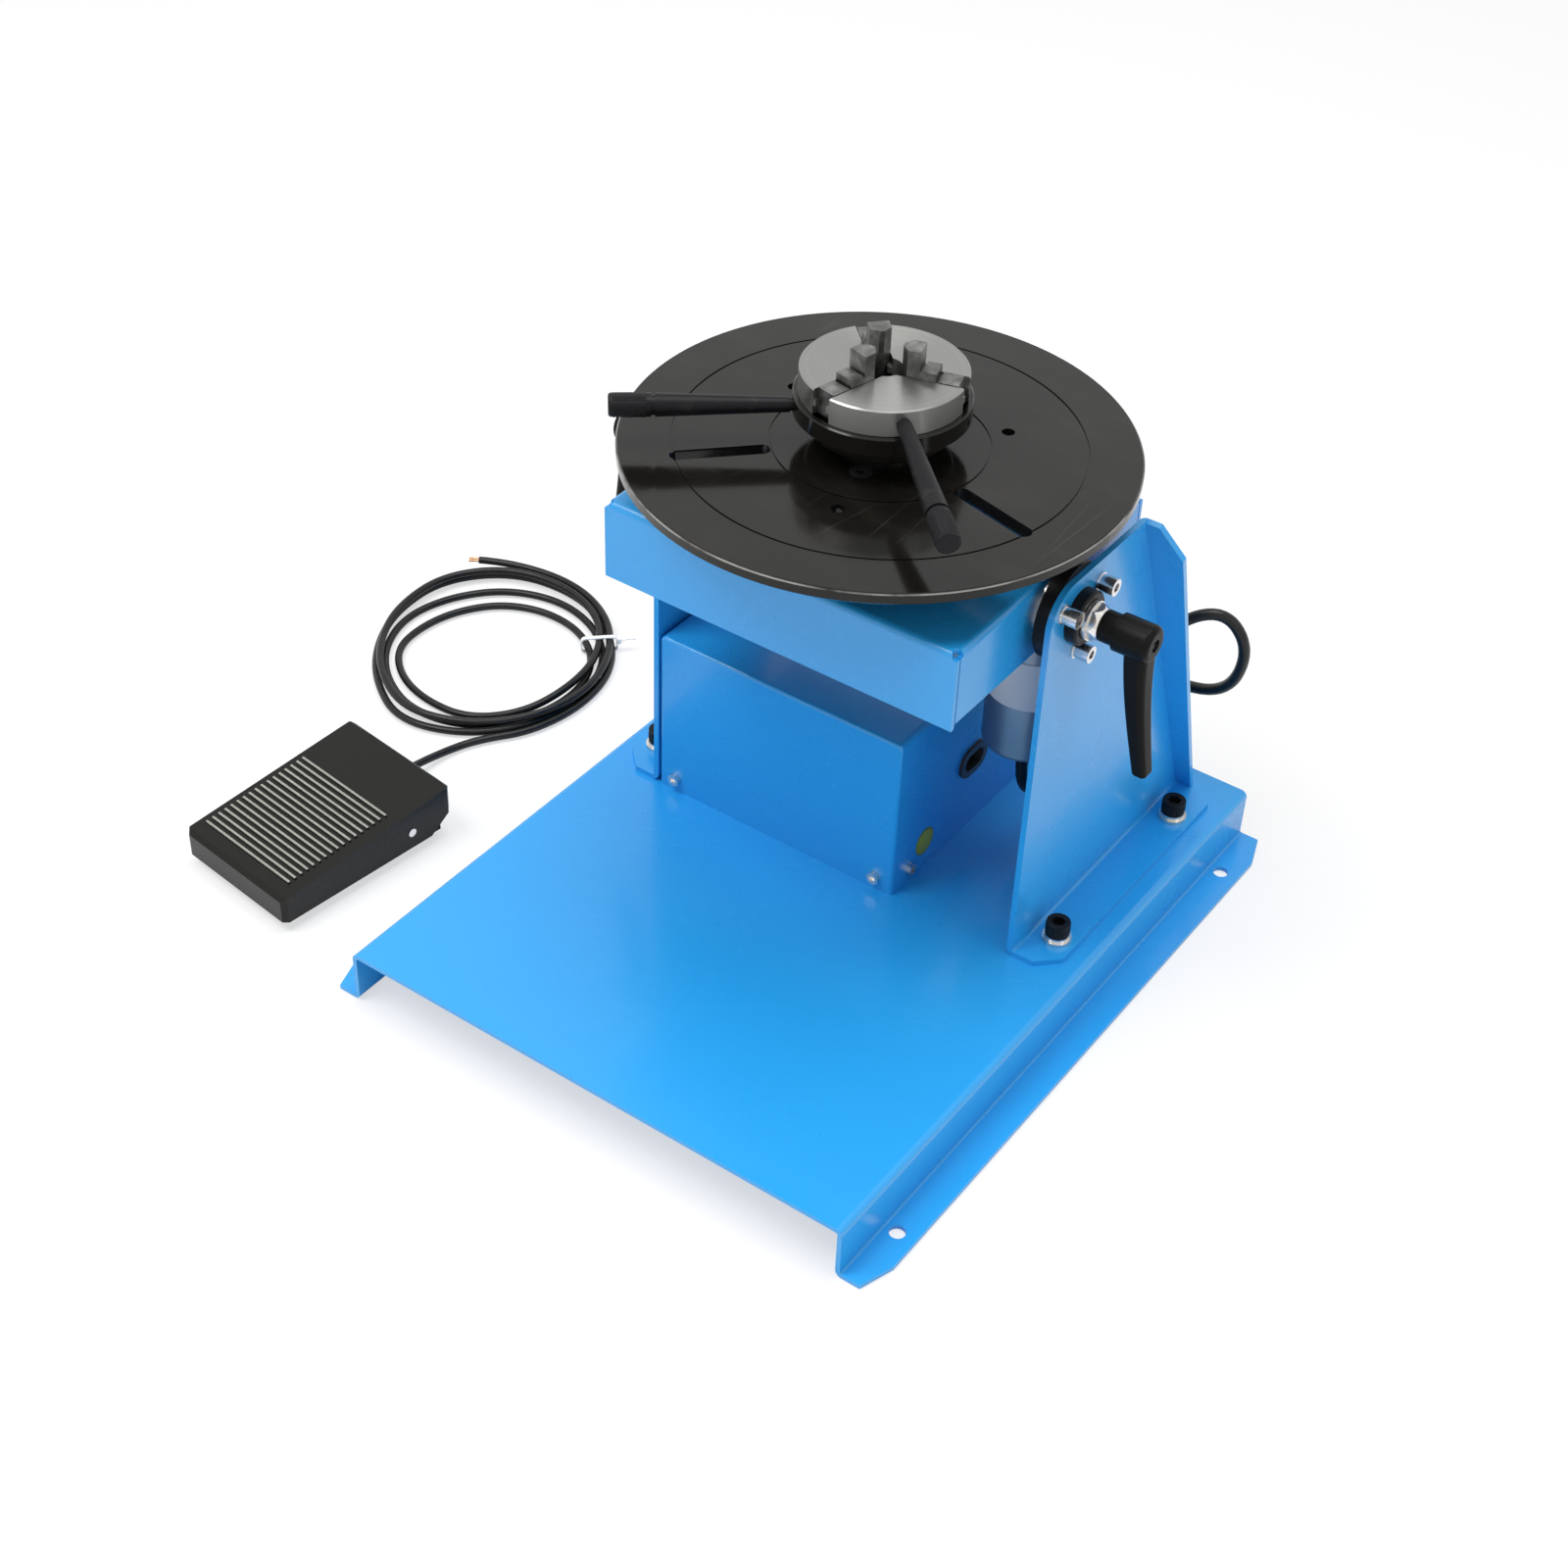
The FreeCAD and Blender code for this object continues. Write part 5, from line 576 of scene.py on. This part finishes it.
def turn_along(piece, path, held_start, held_end):
    """Works out how far each vertex of a cord lies along its own line between two shares of its length, lays the mesh
    out on a straight line by those shares, and puts every vertex back where it was."""
    runs = [0.0]
    for a, b in zip(path, path[1:]):
        runs.append(runs[-1] + (b - a).length)
    tree = KDTree(len(path))
    for i, spot in enumerate(path):
        tree.insert(spot, i)
    tree.balance()
    rest = [v.co.copy() for v in piece.data.vertices]
    for v in piece.data.vertices:
        share = (runs[tree.find(v.co)[1]] / runs[-1] - held_start) / (held_end - held_start)
        turned = min(1.0, max(0.0, share))
        v.co = (0.5 - math.sin(math.asin(1 - 2 * turned) / 3), 0, 0)
    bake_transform(piece)
    for v, spot in zip(piece.data.vertices, rest):
        v.co = spot


def put(piece, start, direction):
    """Lays a piece that was made along Z from the origin along a direction from a place."""
    piece.rotation_euler = Vector((0, 0, 1)).rotation_difference(Vector(direction)).to_euler()
    piece.location = start
    settle(piece)
    return piece


def slice_rings(piece, stations):
    """Cuts rings round a piece that stands on the origin, at the given heights."""
    bpy.context.view_layer.objects.active = piece
    piece.select_set(True)
    bpy.ops.object.mode_set(mode="EDIT")
    for z in stations:
        bpy.ops.mesh.select_all(action="SELECT")
        bpy.ops.mesh.bisect(plane_co=(0, 0, z), plane_no=(0, 0, 1))
    done(piece)


def flank(_, face):
    return abs(face.normal.z) < 0.5


def mean(points):
    return sum(points, Vector()) / len(points)


# ---- the frame's own nodes ----------------------------------------------------------------------------
class POSITIONER_OT_finishes(bpy.types.Operator):
    """Gives every carried-over part its finish"""
    bl_idname = "positioner.finishes"
    bl_label = "Finishes"

    def execute(self, context):
        paint = context.scene.positioner_paint
        c = slot_colour
        finishes = {
            "blue": blue_paint("sheet_paint", tuple(paint.sheet_blue)),
            "black_steel": black_oxide("black_oxide", c("black_steel")),
            "black_plate": black_plate("blackened_plate", tuple(paint.plate_black)),
            "zinc": zinc_plate("bright_zinc", c("zinc")),
            "bright_steel": turned_steel("turned_steel", c("bright_steel")),
            "hard_steel": ground_steel("ground_steel", c("hard_steel")),
            "black_lever": coated_casting("lever_coating", tuple(paint.lever_black)),
            "motor_case": plated_case("plated_case", c("motor_case")),
            "black_plastic": moulded_plastic("pedal_moulding", tuple(paint.pedal_black)),
            "panel_plastic": moulded_plastic("panel_moulding", c("panel_plastic"), 0.30),
            "red_plastic": moulded_plastic("rocker_moulding", c("red_plastic"), 0.25),
            "green_board": circuit_board("solder_mask", c("green_board")),
            "supply_case": zinc_plate("supply_case", c("supply_case")),
            "cable_rubber": soft_rubber("cable_sheath", tuple(paint.cable_black)),
            "foot_rubber": soft_rubber("foot_rubber", c("foot_rubber")),
            "white_nylon": moulded_plastic("white_nylon", c("white_nylon"), 0.38),
            "brass": ground_steel("cut_brass", c("brass")),
            "copper": drawn_wire("stranded_copper", c("copper")),
        }
        slots = {row["node"]: row["material_slot"] for row in frame["record"]["subparts"]}
        special = {
            "pedal_treadle": tread_plastic("tread_moulding", tuple(paint.pedal_black), TREAD_START, PEDAL_TURN,
                                           TREAD_SLOPE),
            # The faceplate's screws take black oxide made 2.6 times lighter all over: a painted highlight for the
            # light their chamfered heads catch.
            "faceplate_screws": black_oxide("rubbed_screws", c("black_steel"), 2.6),
        }
        for name, node in frame["nodes"].items():
            node.data.materials.clear()
            node.data.materials.append(special.get(name) or finishes[slots[name]])
        return {"FINISHED"}


def finish_named(name):
    return bpy.data.materials[name]


# ---- cords --------------------------------------------------------------------------------------------
# Sizes here are in millimetres and follow the same route as the plain solids. The coil has twelve points a turn:
# three turns lie on the floor, the cord rises once, and the rest lies over them.
COIL_CENTRE = (-229.4, 50.9)
TURN_POINTS = 12
COIL_START = -30.0
COIL_FLOOR = (61.5, 59.0, 59.3, 59.5, 63.0, 67.3, 65.3, 56.8, 52.5, 54.0, 62.0, 60.3,
              57.4, 55.2, 55.2, 54.0, 54.0, 52.5, 50.0, 50.0, 48.5, 49.0, 53.0, 54.8,
              53.0, 51.4, 50.0, 46.5, 43.0, 40.5, 38.0, 38.5, 42.5, 42.3, 43.6, 48.5)
COIL_RISE = (48.9, 3.6)
COIL_OVER = (48.8, 51.5, 56.5, 61.0, 65.2, 63.2, 54.8, 50.5, 51.5, 57.5, 57.6,
             57.0, 57.1, 57.2, 60.6, 65.0, 69.6)
CORD_LOW = 2.3
CORD_OVER = 6.4
CORD_END = (134.0, 74.2)
PEDAL_EXIT = (-8.0, 93.0, 7.0)
TIE_BEARING = math.radians(44.0)
TIE_SPAN = (44.9, 62.3)
TAIL_STEPS = ((0.7, 2.0), (0.1, 2.2), (-0.5, 2.0))
BRACKET_EDGE = 92.0
PIVOT_LINE = 25.0
CABLE_END = 76.0
HELD_AT_BOX = 0.07
HELD_AT_MOTOR = 0.94


def coil_spot(bearing, r, height):
    """A place on the pedal cord's coil, in millimetres."""
    turn = math.radians(bearing)
    outside = r / math.cos(math.pi / TURN_POINTS)
    return (COIL_CENTRE[0] + outside * math.cos(turn), COIL_CENTRE[1] + outside * math.sin(turn), height)


def coil_points():
    """Three turns on the floor, then one and a half over them."""
    radii = [(r, CORD_LOW) for r in COIL_FLOOR] + [COIL_RISE] + [(r, CORD_OVER) for r in COIL_OVER]
    return [coil_spot(COIL_START + 360 / TURN_POINTS * k, r, z) for k, (r, z) in enumerate(radii)]


def behind_pedal(back, height):
    """A point on the line of the cord's exit, at a distance behind the pedal, in millimetres."""
    across, along = PEDAL_EXIT[0], PEDAL_EXIT[1] + back
    return (PEDAL_FRONT[0] + across * math.cos(PEDAL_TURN) - along * math.sin(PEDAL_TURN),
            PEDAL_FRONT[1] + across * math.sin(PEDAL_TURN) + along * math.cos(PEDAL_TURN), height)


def in_metres(points):
    return [tuple(c * MM for c in p) for p in points]


class POSITIONER_OT_pedal_cord(bpy.types.Operator):
    """Lays the pedal's cord along its coil"""
    bl_idname = "positioner.pedal_cord"
    bl_label = "Pedal cord"

    def execute(self, context):
        radius = context.scene.positioner_cord.pedal_radius
        turn = math.radians(CORD_END[0])
        end = (COIL_CENTRE[0] + CORD_END[1] * math.cos(turn), COIL_CENTRE[1] + CORD_END[1] * math.sin(turn), CORD_OVER)
        route = [behind_pedal(-15, PEDAL_EXIT[2]), behind_pedal(8, PEDAL_EXIT[2]),
                 (COIL_CENTRE[0] + 33, COIL_CENTRE[1] - 68, CORD_LOW),
                 (COIL_CENTRE[0] + 39.5, COIL_CENTRE[1] - 52, CORD_LOW)] + coil_points() + [end]
        points = in_metres(route)
        cord, path = cord_tube("pedal_cord_line", points, radius)
        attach(cord, "stand")
        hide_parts("pedal_cord")
        make_tie(context.scene.positioner_trim)
        return {"FINISHED"}


class POSITIONER_OT_motor_cable(bpy.types.Operator):
    """Runs the motor's cable from the box round behind the bracket to the motor"""
    bl_idname = "positioner.motor_cable"
    bl_label = "Motor cable"

    def execute(self, context):
        radius = context.scene.positioner_cord.motor_radius
        x, y, end = BRACKET_EDGE, PIVOT_LINE, CABLE_END
        mx, my = MOTOR_AXIS.x / MM, MOTOR_AXIS.y / MM
        gland = middle("cable_gland")
        gx, gz = gland.x / MM, gland.z / MM
        route = [(gx, 117.0, gz), (gx, y + 126, gz), (x - 26, y + 143, gz - 4), (x + 8, y + 138, gz + 6),
                 (x + 17, y + 133, gz + 38), (x + 3, y + 129, gz + 56), (x - 18, y + 118, gz + 42),
                 (mx + 4, my + 34, end - 24), (mx, my, end - 26), (mx, my, end)]
        points = in_metres(route)
        cable, path = cord_tube("motor_cable_line", points, radius)
        turn_along(cable, path, HELD_AT_BOX, HELD_AT_MOTOR)
        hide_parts("motor_cable")
        return {"FINISHED"}


# ---- small pieces -------------------------------------------------------------------------------------
def make_tie(trim):
    """A cable tie drawn round all the strands of the coil, with its head and its cut tail."""
    near, far = TIE_SPAN
    top = CORD_OVER + 2.4
    strap_t = trim.tie_thickness
    clear_selection()
    bpy.ops.mesh.primitive_cube_add(size=1.0, location=((near + far) / 2 * MM, 0, (top / 2 + 0.05) * MM),
                                    scale=((far - near) * MM, trim.tie_width, (top - 0.1) * MM - strap_t))
    strap = bpy.context.object
    settle(strap)
    pick(strap, "faces", lambda spot, face: abs(face.normal.y) > 0.5)
    bpy.ops.mesh.delete(type="ONLY_FACE")
    pick(strap, "edges", lambda spot, edge: abs(edge.verts[0].co.y - edge.verts[1].co.y) > 0.5 * trim.tie_width)
    bpy.ops.mesh.bevel(offset=2.2 * MM, segments=6)
    done(strap)
    apply_modifier(strap, "SOLIDIFY", thickness=strap_t, offset=0.0)
    clear_selection()
    bpy.ops.mesh.primitive_cube_add(size=1.0, location=((far + 0.9) * MM, 0, (top - 2.6) * MM),
                                    scale=(2.2 * MM, 3.0 * MM, 3.0 * MM))
    head = bpy.context.object
    settle(head)
    apply_modifier(head, "BEVEL", width=0.5 * MM, segments=2)
    clear_selection()
    bpy.ops.mesh.primitive_cube_add(size=1.0, location=((far + 2.2) * MM, 0, (top - 2.4) * MM),
                                    scale=(1.0 * MM, trim.tie_width, strap_t))
    tail = bpy.context.object
    settle(tail)
    for rise, run in TAIL_STEPS:
        reach = max(v.co.x for v in tail.data.vertices) - MM
        pick(tail, "faces", lambda spot, face: face.normal.x > 0.6 and spot.x > reach)
        bpy.ops.mesh.extrude_region_move(TRANSFORM_OT_translate={"value": (run * MM, 0, rise * MM)})
        done(tail)
    apply_modifier(tail, "BEVEL", width=0.12 * MM, segments=2)
    clear_selection()
    for piece in (strap, head, tail):
        piece.select_set(True)
    bpy.context.view_layer.objects.active = strap
    bpy.ops.object.join()
    strap.rotation_euler = (0, 0, TIE_BEARING)
    strap.location = (COIL_CENTRE[0] * MM, COIL_CENTRE[1] * MM, 0)
    shade(strap)
    named(strap, "coil_tie", finish_named("white_nylon"), "stand")
    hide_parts("cord_tie")
    return strap


class POSITIONER_OT_sleeves(bpy.types.Operator):
    """Puts the tapered sleeves where the two cords come out"""
    bl_idname = "positioner.sleeves"
    bl_label = "Cord sleeves"
    ribs = 6

    def execute(self, context):
        trim, cord = context.scene.positioner_trim, context.scene.positioner_cord
        back = Vector((-math.sin(PEDAL_TURN), math.cos(PEDAL_TURN), 0))
        start = Vector(behind_pedal(-1.5, PEDAL_EXIT[2])) * MM
        droop = (back + Vector((0, 0, -0.12))).normalized()
        self.sleeve("pedal_sleeve", start, droop, trim.sleeve_length * 0.7, cord.pedal_radius)
        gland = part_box("cable_gland")
        start = Vector((middle("cable_gland").x, gland[1].y - 0.3 * MM, middle("cable_gland").z))
        self.sleeve("gland_sleeve", start, Vector((0, 1, 0)), trim.sleeve_length, cord.motor_radius)
        return {"FINISHED"}

    def sleeve(self, name, start, direction, length, cord_radius):
        clear_selection()
        bpy.ops.mesh.primitive_cone_add(vertices=40, radius1=cord_radius + 1.3 * MM, radius2=cord_radius + 0.35 * MM,
                                        depth=length, location=(0, 0, length / 2))
        piece = bpy.context.object
        settle(piece)
        step = length / (2 * self.ribs + 1)
        stations = [step * k for k in range(1, 2 * self.ribs + 1)]
        slice_rings(piece, stations)
        for z in stations[1::2]:
            pick(piece, "edges", lambda _, edge: abs(edge.verts[0].co.z - z) < 0.01 * MM
                 and abs(edge.verts[1].co.z - z) < 0.01 * MM)
            bpy.ops.transform.resize(value=(0.88, 0.88, 1.0))
            done(piece)
        apply_modifier(piece, "BEVEL", width=0.15 * MM, segments=2, limit_method="ANGLE", angle_limit=math.radians(12))
        put(piece, start, direction)
        shade(piece)
        named(piece, name, finish_named("foot_rubber"), "stand")


class POSITIONER_OT_bar_grips(bpy.types.Operator):
    """Cuts the knurled grips at the ends of the two chuck bars"""
    bl_idname = "positioner.bar_grips"
    bl_label = "Bar grips"
    rows = 13
    cover = 12.6 * MM
    end_gap = 1.6 * MM

    def execute(self, context):
        trim = context.scene.positioner_trim
        for node, body in (("chuck_bar_scroll", "scroll"), ("chuck_bar_body", "table")):
            self.grip(node, body, trim)
        return {"FINISHED"}

    def grip(self, node, body, trim):
        tip, axis, radius = self.bar_end(node)
        clear_selection()
        bpy.ops.mesh.primitive_cylinder_add(vertices=trim.knurl_count, radius=radius, depth=self.cover,
                                            end_fill_type="NOTHING", location=(0, 0, self.cover / 2))
        piece = bpy.context.object
        settle(piece)
        slice_rings(piece, [self.cover * k / self.rows for k in range(1, self.rows)])
        pick(piece, "faces", flank)
        bpy.ops.mesh.poke(offset=trim.knurl_depth)
        done(piece)
        apply_modifier(piece, "SOLIDIFY", thickness=0.4 * MM, offset=-1.0)
        put(piece, tip - axis * (self.cover + self.end_gap), axis)
        named(piece, node + "_knurl", finish_named("black_oxide"), body)

    def bar_end(self, node):
        """The middle of a bar's outer end, its direction outwards and the radius of its grip."""
        spots = [v.co for v in frame["nodes"][node].data.vertices]
        far = max(spots, key=lambda p: (p - TABLE_AXIS).xy.length)
        near = min(spots, key=lambda p: (p - TABLE_AXIS).xy.length)
        axis = (far - near).normalized()
        for _ in range(4):
            along = [(p.dot(axis), p) for p in spots]
            high, low = max(along)[0], min(along)[0]
            tip = mean([p for a, p in along if a > high - 0.3 * MM])
            root = mean([p for a, p in along if a < low + 0.3 * MM])
            axis = (tip - root).normalized()
        radius = max(((p - tip) - axis * (p - tip).dot(axis)).length for p in spots if (tip - p).dot(axis) < 6 * MM)
        return tip, axis, radius


class POSITIONER_OT_bolt_flutes(bpy.types.Operator):
    """Flutes the heads of the four bolts that hold the brackets"""
    bl_idname = "positioner.bolt_flutes"
    bl_label = "Bolt flutes"
    head_r = 5.02 * MM
    low_gap = 1.0 * MM
    high_gap = 1.1 * MM
    head_h = 6.0 * MM

    def execute(self, context):
        count = context.scene.positioner_trim.flute_count
        spots = self.heads()
        top = top_of("bracket_bolts")
        height = self.head_h - self.low_gap - self.high_gap
        for k, spot in enumerate(spots):
            clear_selection()
            bpy.ops.mesh.primitive_cylinder_add(vertices=2 * count, radius=self.head_r + 0.18 * MM, depth=height,
                                                end_fill_type="NOTHING",
                                                location=(spot.x, spot.y, top - self.high_gap - height / 2))
            piece = bpy.context.object
            settle(piece)
            pick(piece, "edges", lambda s, e: abs(e.verts[0].co.z - e.verts[1].co.z) > 0.5 * height
                 and round(math.atan2(s.y - spot.y, s.x - spot.x) / (math.pi / count)) % 2 == 0)
            bpy.ops.transform.resize(value=(0.955, 0.955, 1.0))
            done(piece)
            apply_modifier(piece, "SOLIDIFY", thickness=0.6 * MM, offset=-1.0)
            named(piece, "bolt_flutes_%d" % (k + 1), finish_named("black_oxide"), "stand")
        return {"FINISHED"}

    def heads(self):
        """The middles of the bolt heads, from the corners of the box round all of them."""
        low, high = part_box("bracket_bolts")
        xs = (low.x + self.head_r, high.x - self.head_r)
        ys = (low.y + self.head_r, high.y - self.head_r)
        return [Vector((x, y, 0)) for x in xs for y in ys]


class POSITIONER_OT_dial_ticks(bpy.types.Operator):
    """Marks the dial round the speed knob"""
    bl_idname = "positioner.dial_ticks"
    bl_label = "Dial ticks"
    sweep = math.radians(270.0)

    def execute(self, context):
        trim = context.scene.positioner_trim
        knob = middle("speed_knob")
        low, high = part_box("speed_knob")
        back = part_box("rear_panel")[1].y
        circle = (high.x - low.x) / 2 + 1.6 * MM
        marks = []
        for k in range(trim.tick_count):
            turn = self.sweep * (k / (trim.tick_count - 1) - 0.5)
            long = 1.5 if k % 5 == 0 else 1.0
            length = trim.tick_length * long
            clear_selection()
            bpy.ops.mesh.primitive_cube_add(size=1.0, scale=(0.45 * MM, 0.12 * MM, length))
            mark = bpy.context.object
            settle(mark)
            apply_modifier(mark, "BEVEL", width=0.04 * MM, segments=1)
            reach = circle + length / 2
            mark.rotation_euler = (0, turn, 0)
            mark.location = (knob.x + reach * math.sin(turn), back + 0.05 * MM, knob.z + reach * math.cos(turn))
            settle(mark)
            marks.append(mark)
        clear_selection()
        for mark in marks:
            mark.select_set(True)
        context.view_layer.objects.active = marks[0]
        bpy.ops.object.join()
        named(marks[0], "dial_ticks", paper_label("dial_print", tuple(context.scene.positioner_paint.label_white)),
              "stand")
        return {"FINISHED"}


class POSITIONER_OT_motor_band(bpy.types.Operator):
    """Wraps the bare band round the motor"""
    bl_idname = "positioner.motor_band"
    bl_label = "Motor band"

    def execute(self, context):
        trim = context.scene.positioner_trim
        low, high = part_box("motor_can")
        radius = (high.x - low.x) / 2
        spot = (MOTOR_AXIS.x, MOTOR_AXIS.y, low.z + trim.band_bottom + trim.band_height / 2)
        band = round_piece(radius + 0.02 * MM, trim.band_height, spot, sides=96)
        pick(band, "faces", lambda spot, face: abs(face.normal.z) > 0.5)
        bpy.ops.mesh.delete(type="ONLY_FACE")
        done(band)
        apply_modifier(band, "SOLIDIFY", thickness=trim.band_gap, offset=1.0)
        shade(band)
        named(band, "motor_band", paper_label("label_paper", tuple(context.scene.positioner_paint.label_white)),
              "head")
        return {"FINISHED"}


class POSITIONER_OT_earth_disc(bpy.types.Operator):
    """Sticks the bare earth disc on the side of the box"""
    bl_idname = "positioner.earth_disc"
    bl_label = "Earth disc"

    def execute(self, context):
        trim = context.scene.positioner_trim
        low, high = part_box("box_cover")
        spot = Vector((high.x + 0.15 * MM, low.y + 24 * MM, low.z + 14 * MM))
        disc = round_piece(trim.earth_radius, 0.3 * MM, spot, axis=(1, 0, 0), sides=64)
        pick(disc, "edges", lambda middle_of, _: middle_of.x > high.x + 0.25 * MM
             and abs((middle_of - spot).length - trim.earth_radius) < 0.2 * MM)
        bpy.ops.mesh.bevel(offset=0.1 * MM, segments=2)
        done(disc)
        shade(disc)
        named(disc, "earth_disc", printed_disc("earth_print", tuple(context.scene.positioner_paint.earth_yellow),
                                               spot, trim.earth_radius), "stand")
        return {"FINISHED"}


# ---- stage --------------------------------------------------------------------------------------------
class POSITIONER_OT_stage(bpy.types.Operator):
    """Sets the floor, the light and the camera"""
    bl_idname = "positioner.stage"
    bl_label = "Stage"
    floor_glow = 0.6
    lamps = (("key_lamp", (-0.60, -0.70, 1.70), 0.9, 17.0),
             ("top_lamp", (0.05, 0.20, 1.9), 1.1, 16.0),
             ("side_lamp", (1.5, -0.1, 0.9), 0.7, 2.0))
    aim = Vector((0, 0.02, 0.12))

    def execute(self, context):
        settings = context.scene.positioner_stage
        self.floor(context)
        self.light(context, settings)
        self.camera(context, settings)
        context.scene.view_settings.view_transform = "Standard"
        return {"FINISHED"}

    def floor(self, context):
        clear_selection()
        bpy.ops.mesh.primitive_plane_add(size=14.0, location=(0, 0, FLOOR_Z - 0.0003))
        floor = context.object
        floor.name = "floor"
        f = Finish("floor_white")
        f.wear(base_color=(0.93, 0.93, 0.93), roughness=0.9)
        nodes, links = f.tree.nodes, f.tree.links
        glow = nodes.new("ShaderNodeEmission")
        path = nodes.new("ShaderNodeLightPath")
        mix = nodes.new("ShaderNodeMixShader")
        share = Wire(f, path.outputs["Is Camera Ray"]) * self.floor_glow
        links.new(share.socket, mix.inputs[0])
        links.new(f.shader.outputs[0], mix.inputs[1])
        links.new(glow.outputs[0], mix.inputs[2])
        links.new(mix.outputs[0], nodes["Material Output"].inputs["Surface"])
        floor.data.materials.append(f.material)

    def light(self, context, settings):
        world = bpy.data.worlds.new("studio")
        context.scene.world = world
        world.use_nodes = True
        nodes, links = world.node_tree.nodes, world.node_tree.links
        ground = nodes["Background"]
        ground.inputs["Color"].default_value = (1, 1, 1, 1)
        ground.inputs["Strength"].default_value = settings.sky
        seen = nodes.new("ShaderNodeBackground")
        seen.inputs["Color"].default_value = (1, 1, 1, 1)
        path = nodes.new("ShaderNodeLightPath")
        mix = nodes.new("ShaderNodeMixShader")
        sees_white = path.outputs["Is Camera Ray"]
        for ray in ("Is Glossy Ray", "Is Transmission Ray"):
            either = nodes.new("ShaderNodeMath")
            either.operation = "MAXIMUM"
            links.new(sees_white, either.inputs[0])
            links.new(path.outputs[ray], either.inputs[1])
            sees_white = either.outputs[0]
        links.new(sees_white, mix.inputs[0])
        links.new(ground.outputs[0], mix.inputs[1])
        links.new(seen.outputs[0], mix.inputs[2])
        links.new(mix.outputs[0], nodes["World Output"].inputs["Surface"])
        for name, spot, size, power in self.lamps:
            lamp = bpy.data.lights.new(name, "AREA")
            lamp.shape = "DISK"
            lamp.size = size
            lamp.energy = power
            holder = bpy.data.objects.new(name, lamp)
            context.scene.collection.objects.link(holder)
            turn = (self.aim - Vector(spot)).to_track_quat("-Z", "Y")
            holder.matrix_world = Matrix.Translation(spot) @ turn.to_matrix().to_4x4()

    def camera(self, context, settings):
        turn, rise, roll = settings.turn, settings.rise, settings.roll
        back = Vector((math.sin(turn) * math.cos(rise), -math.cos(turn) * math.cos(rise), math.sin(rise)))
        right = (-back).cross(Vector((0, 0, 1))).normalized()
        up = right.cross(-back)
        right, up = (right * math.cos(roll) + up * math.sin(roll), up * math.cos(roll) - right * math.sin(roll))
        lens = bpy.data.cameras.new("camera")
        lens.lens = settings.lens
        lens.sensor_width = 36.0
        lens.clip_start = 0.02
        camera = bpy.data.objects.new("camera", lens)
        context.scene.collection.objects.link(camera)
        frame_of = Matrix((right, up, back)).transposed().to_4x4()
        camera.matrix_world = Matrix.Translation(settings.eye) @ frame_of
        context.scene.camera = camera


# ---- panel and registration ---------------------------------------------------------------------------
OPERATORS = (
    POSITIONER_OT_stage,
    POSITIONER_OT_finishes,
    POSITIONER_OT_pedal_cord,
    POSITIONER_OT_motor_cable,
    POSITIONER_OT_motor_band,
    POSITIONER_OT_earth_disc,
    POSITIONER_OT_sleeves,
    POSITIONER_OT_bar_grips,
    POSITIONER_OT_bolt_flutes,
    POSITIONER_OT_dial_ticks,
)
SETTINGS = {
    "positioner_paint": PaintSettings,
    "positioner_cord": CordSettings,
    "positioner_trim": TrimSettings,
    "positioner_stage": StageSettings,
}


class POSITIONER_PT_panel(bpy.types.Panel):
    """Lists the steps that dress the model"""
    bl_label = "Welding positioner"
    bl_idname = "POSITIONER_PT_panel"
    bl_space_type = "VIEW_3D"
    bl_region_type = "UI"
    bl_category = "Positioner"

    def draw(self, context):
        for step in OPERATORS:
            self.layout.operator(step.bl_idname)


def register():
    for group in (*SETTINGS.values(), *OPERATORS, POSITIONER_PT_panel):
        bpy.utils.register_class(group)
    for name, group in SETTINGS.items():
        setattr(bpy.types.Scene, name, PointerProperty(type=group))


def unregister():
    for name in SETTINGS:
        delattr(bpy.types.Scene, name)
    for group in reversed((*SETTINGS.values(), *OPERATORS, POSITIONER_PT_panel)):
        bpy.utils.unregister_class(group)


def main():
    register()
    for step in OPERATORS:
        family, name = step.bl_idname.split(".")
        getattr(getattr(bpy.ops, family), name)()
    bpy.context.view_layer.update()


if __name__ == "__main__":
    main()
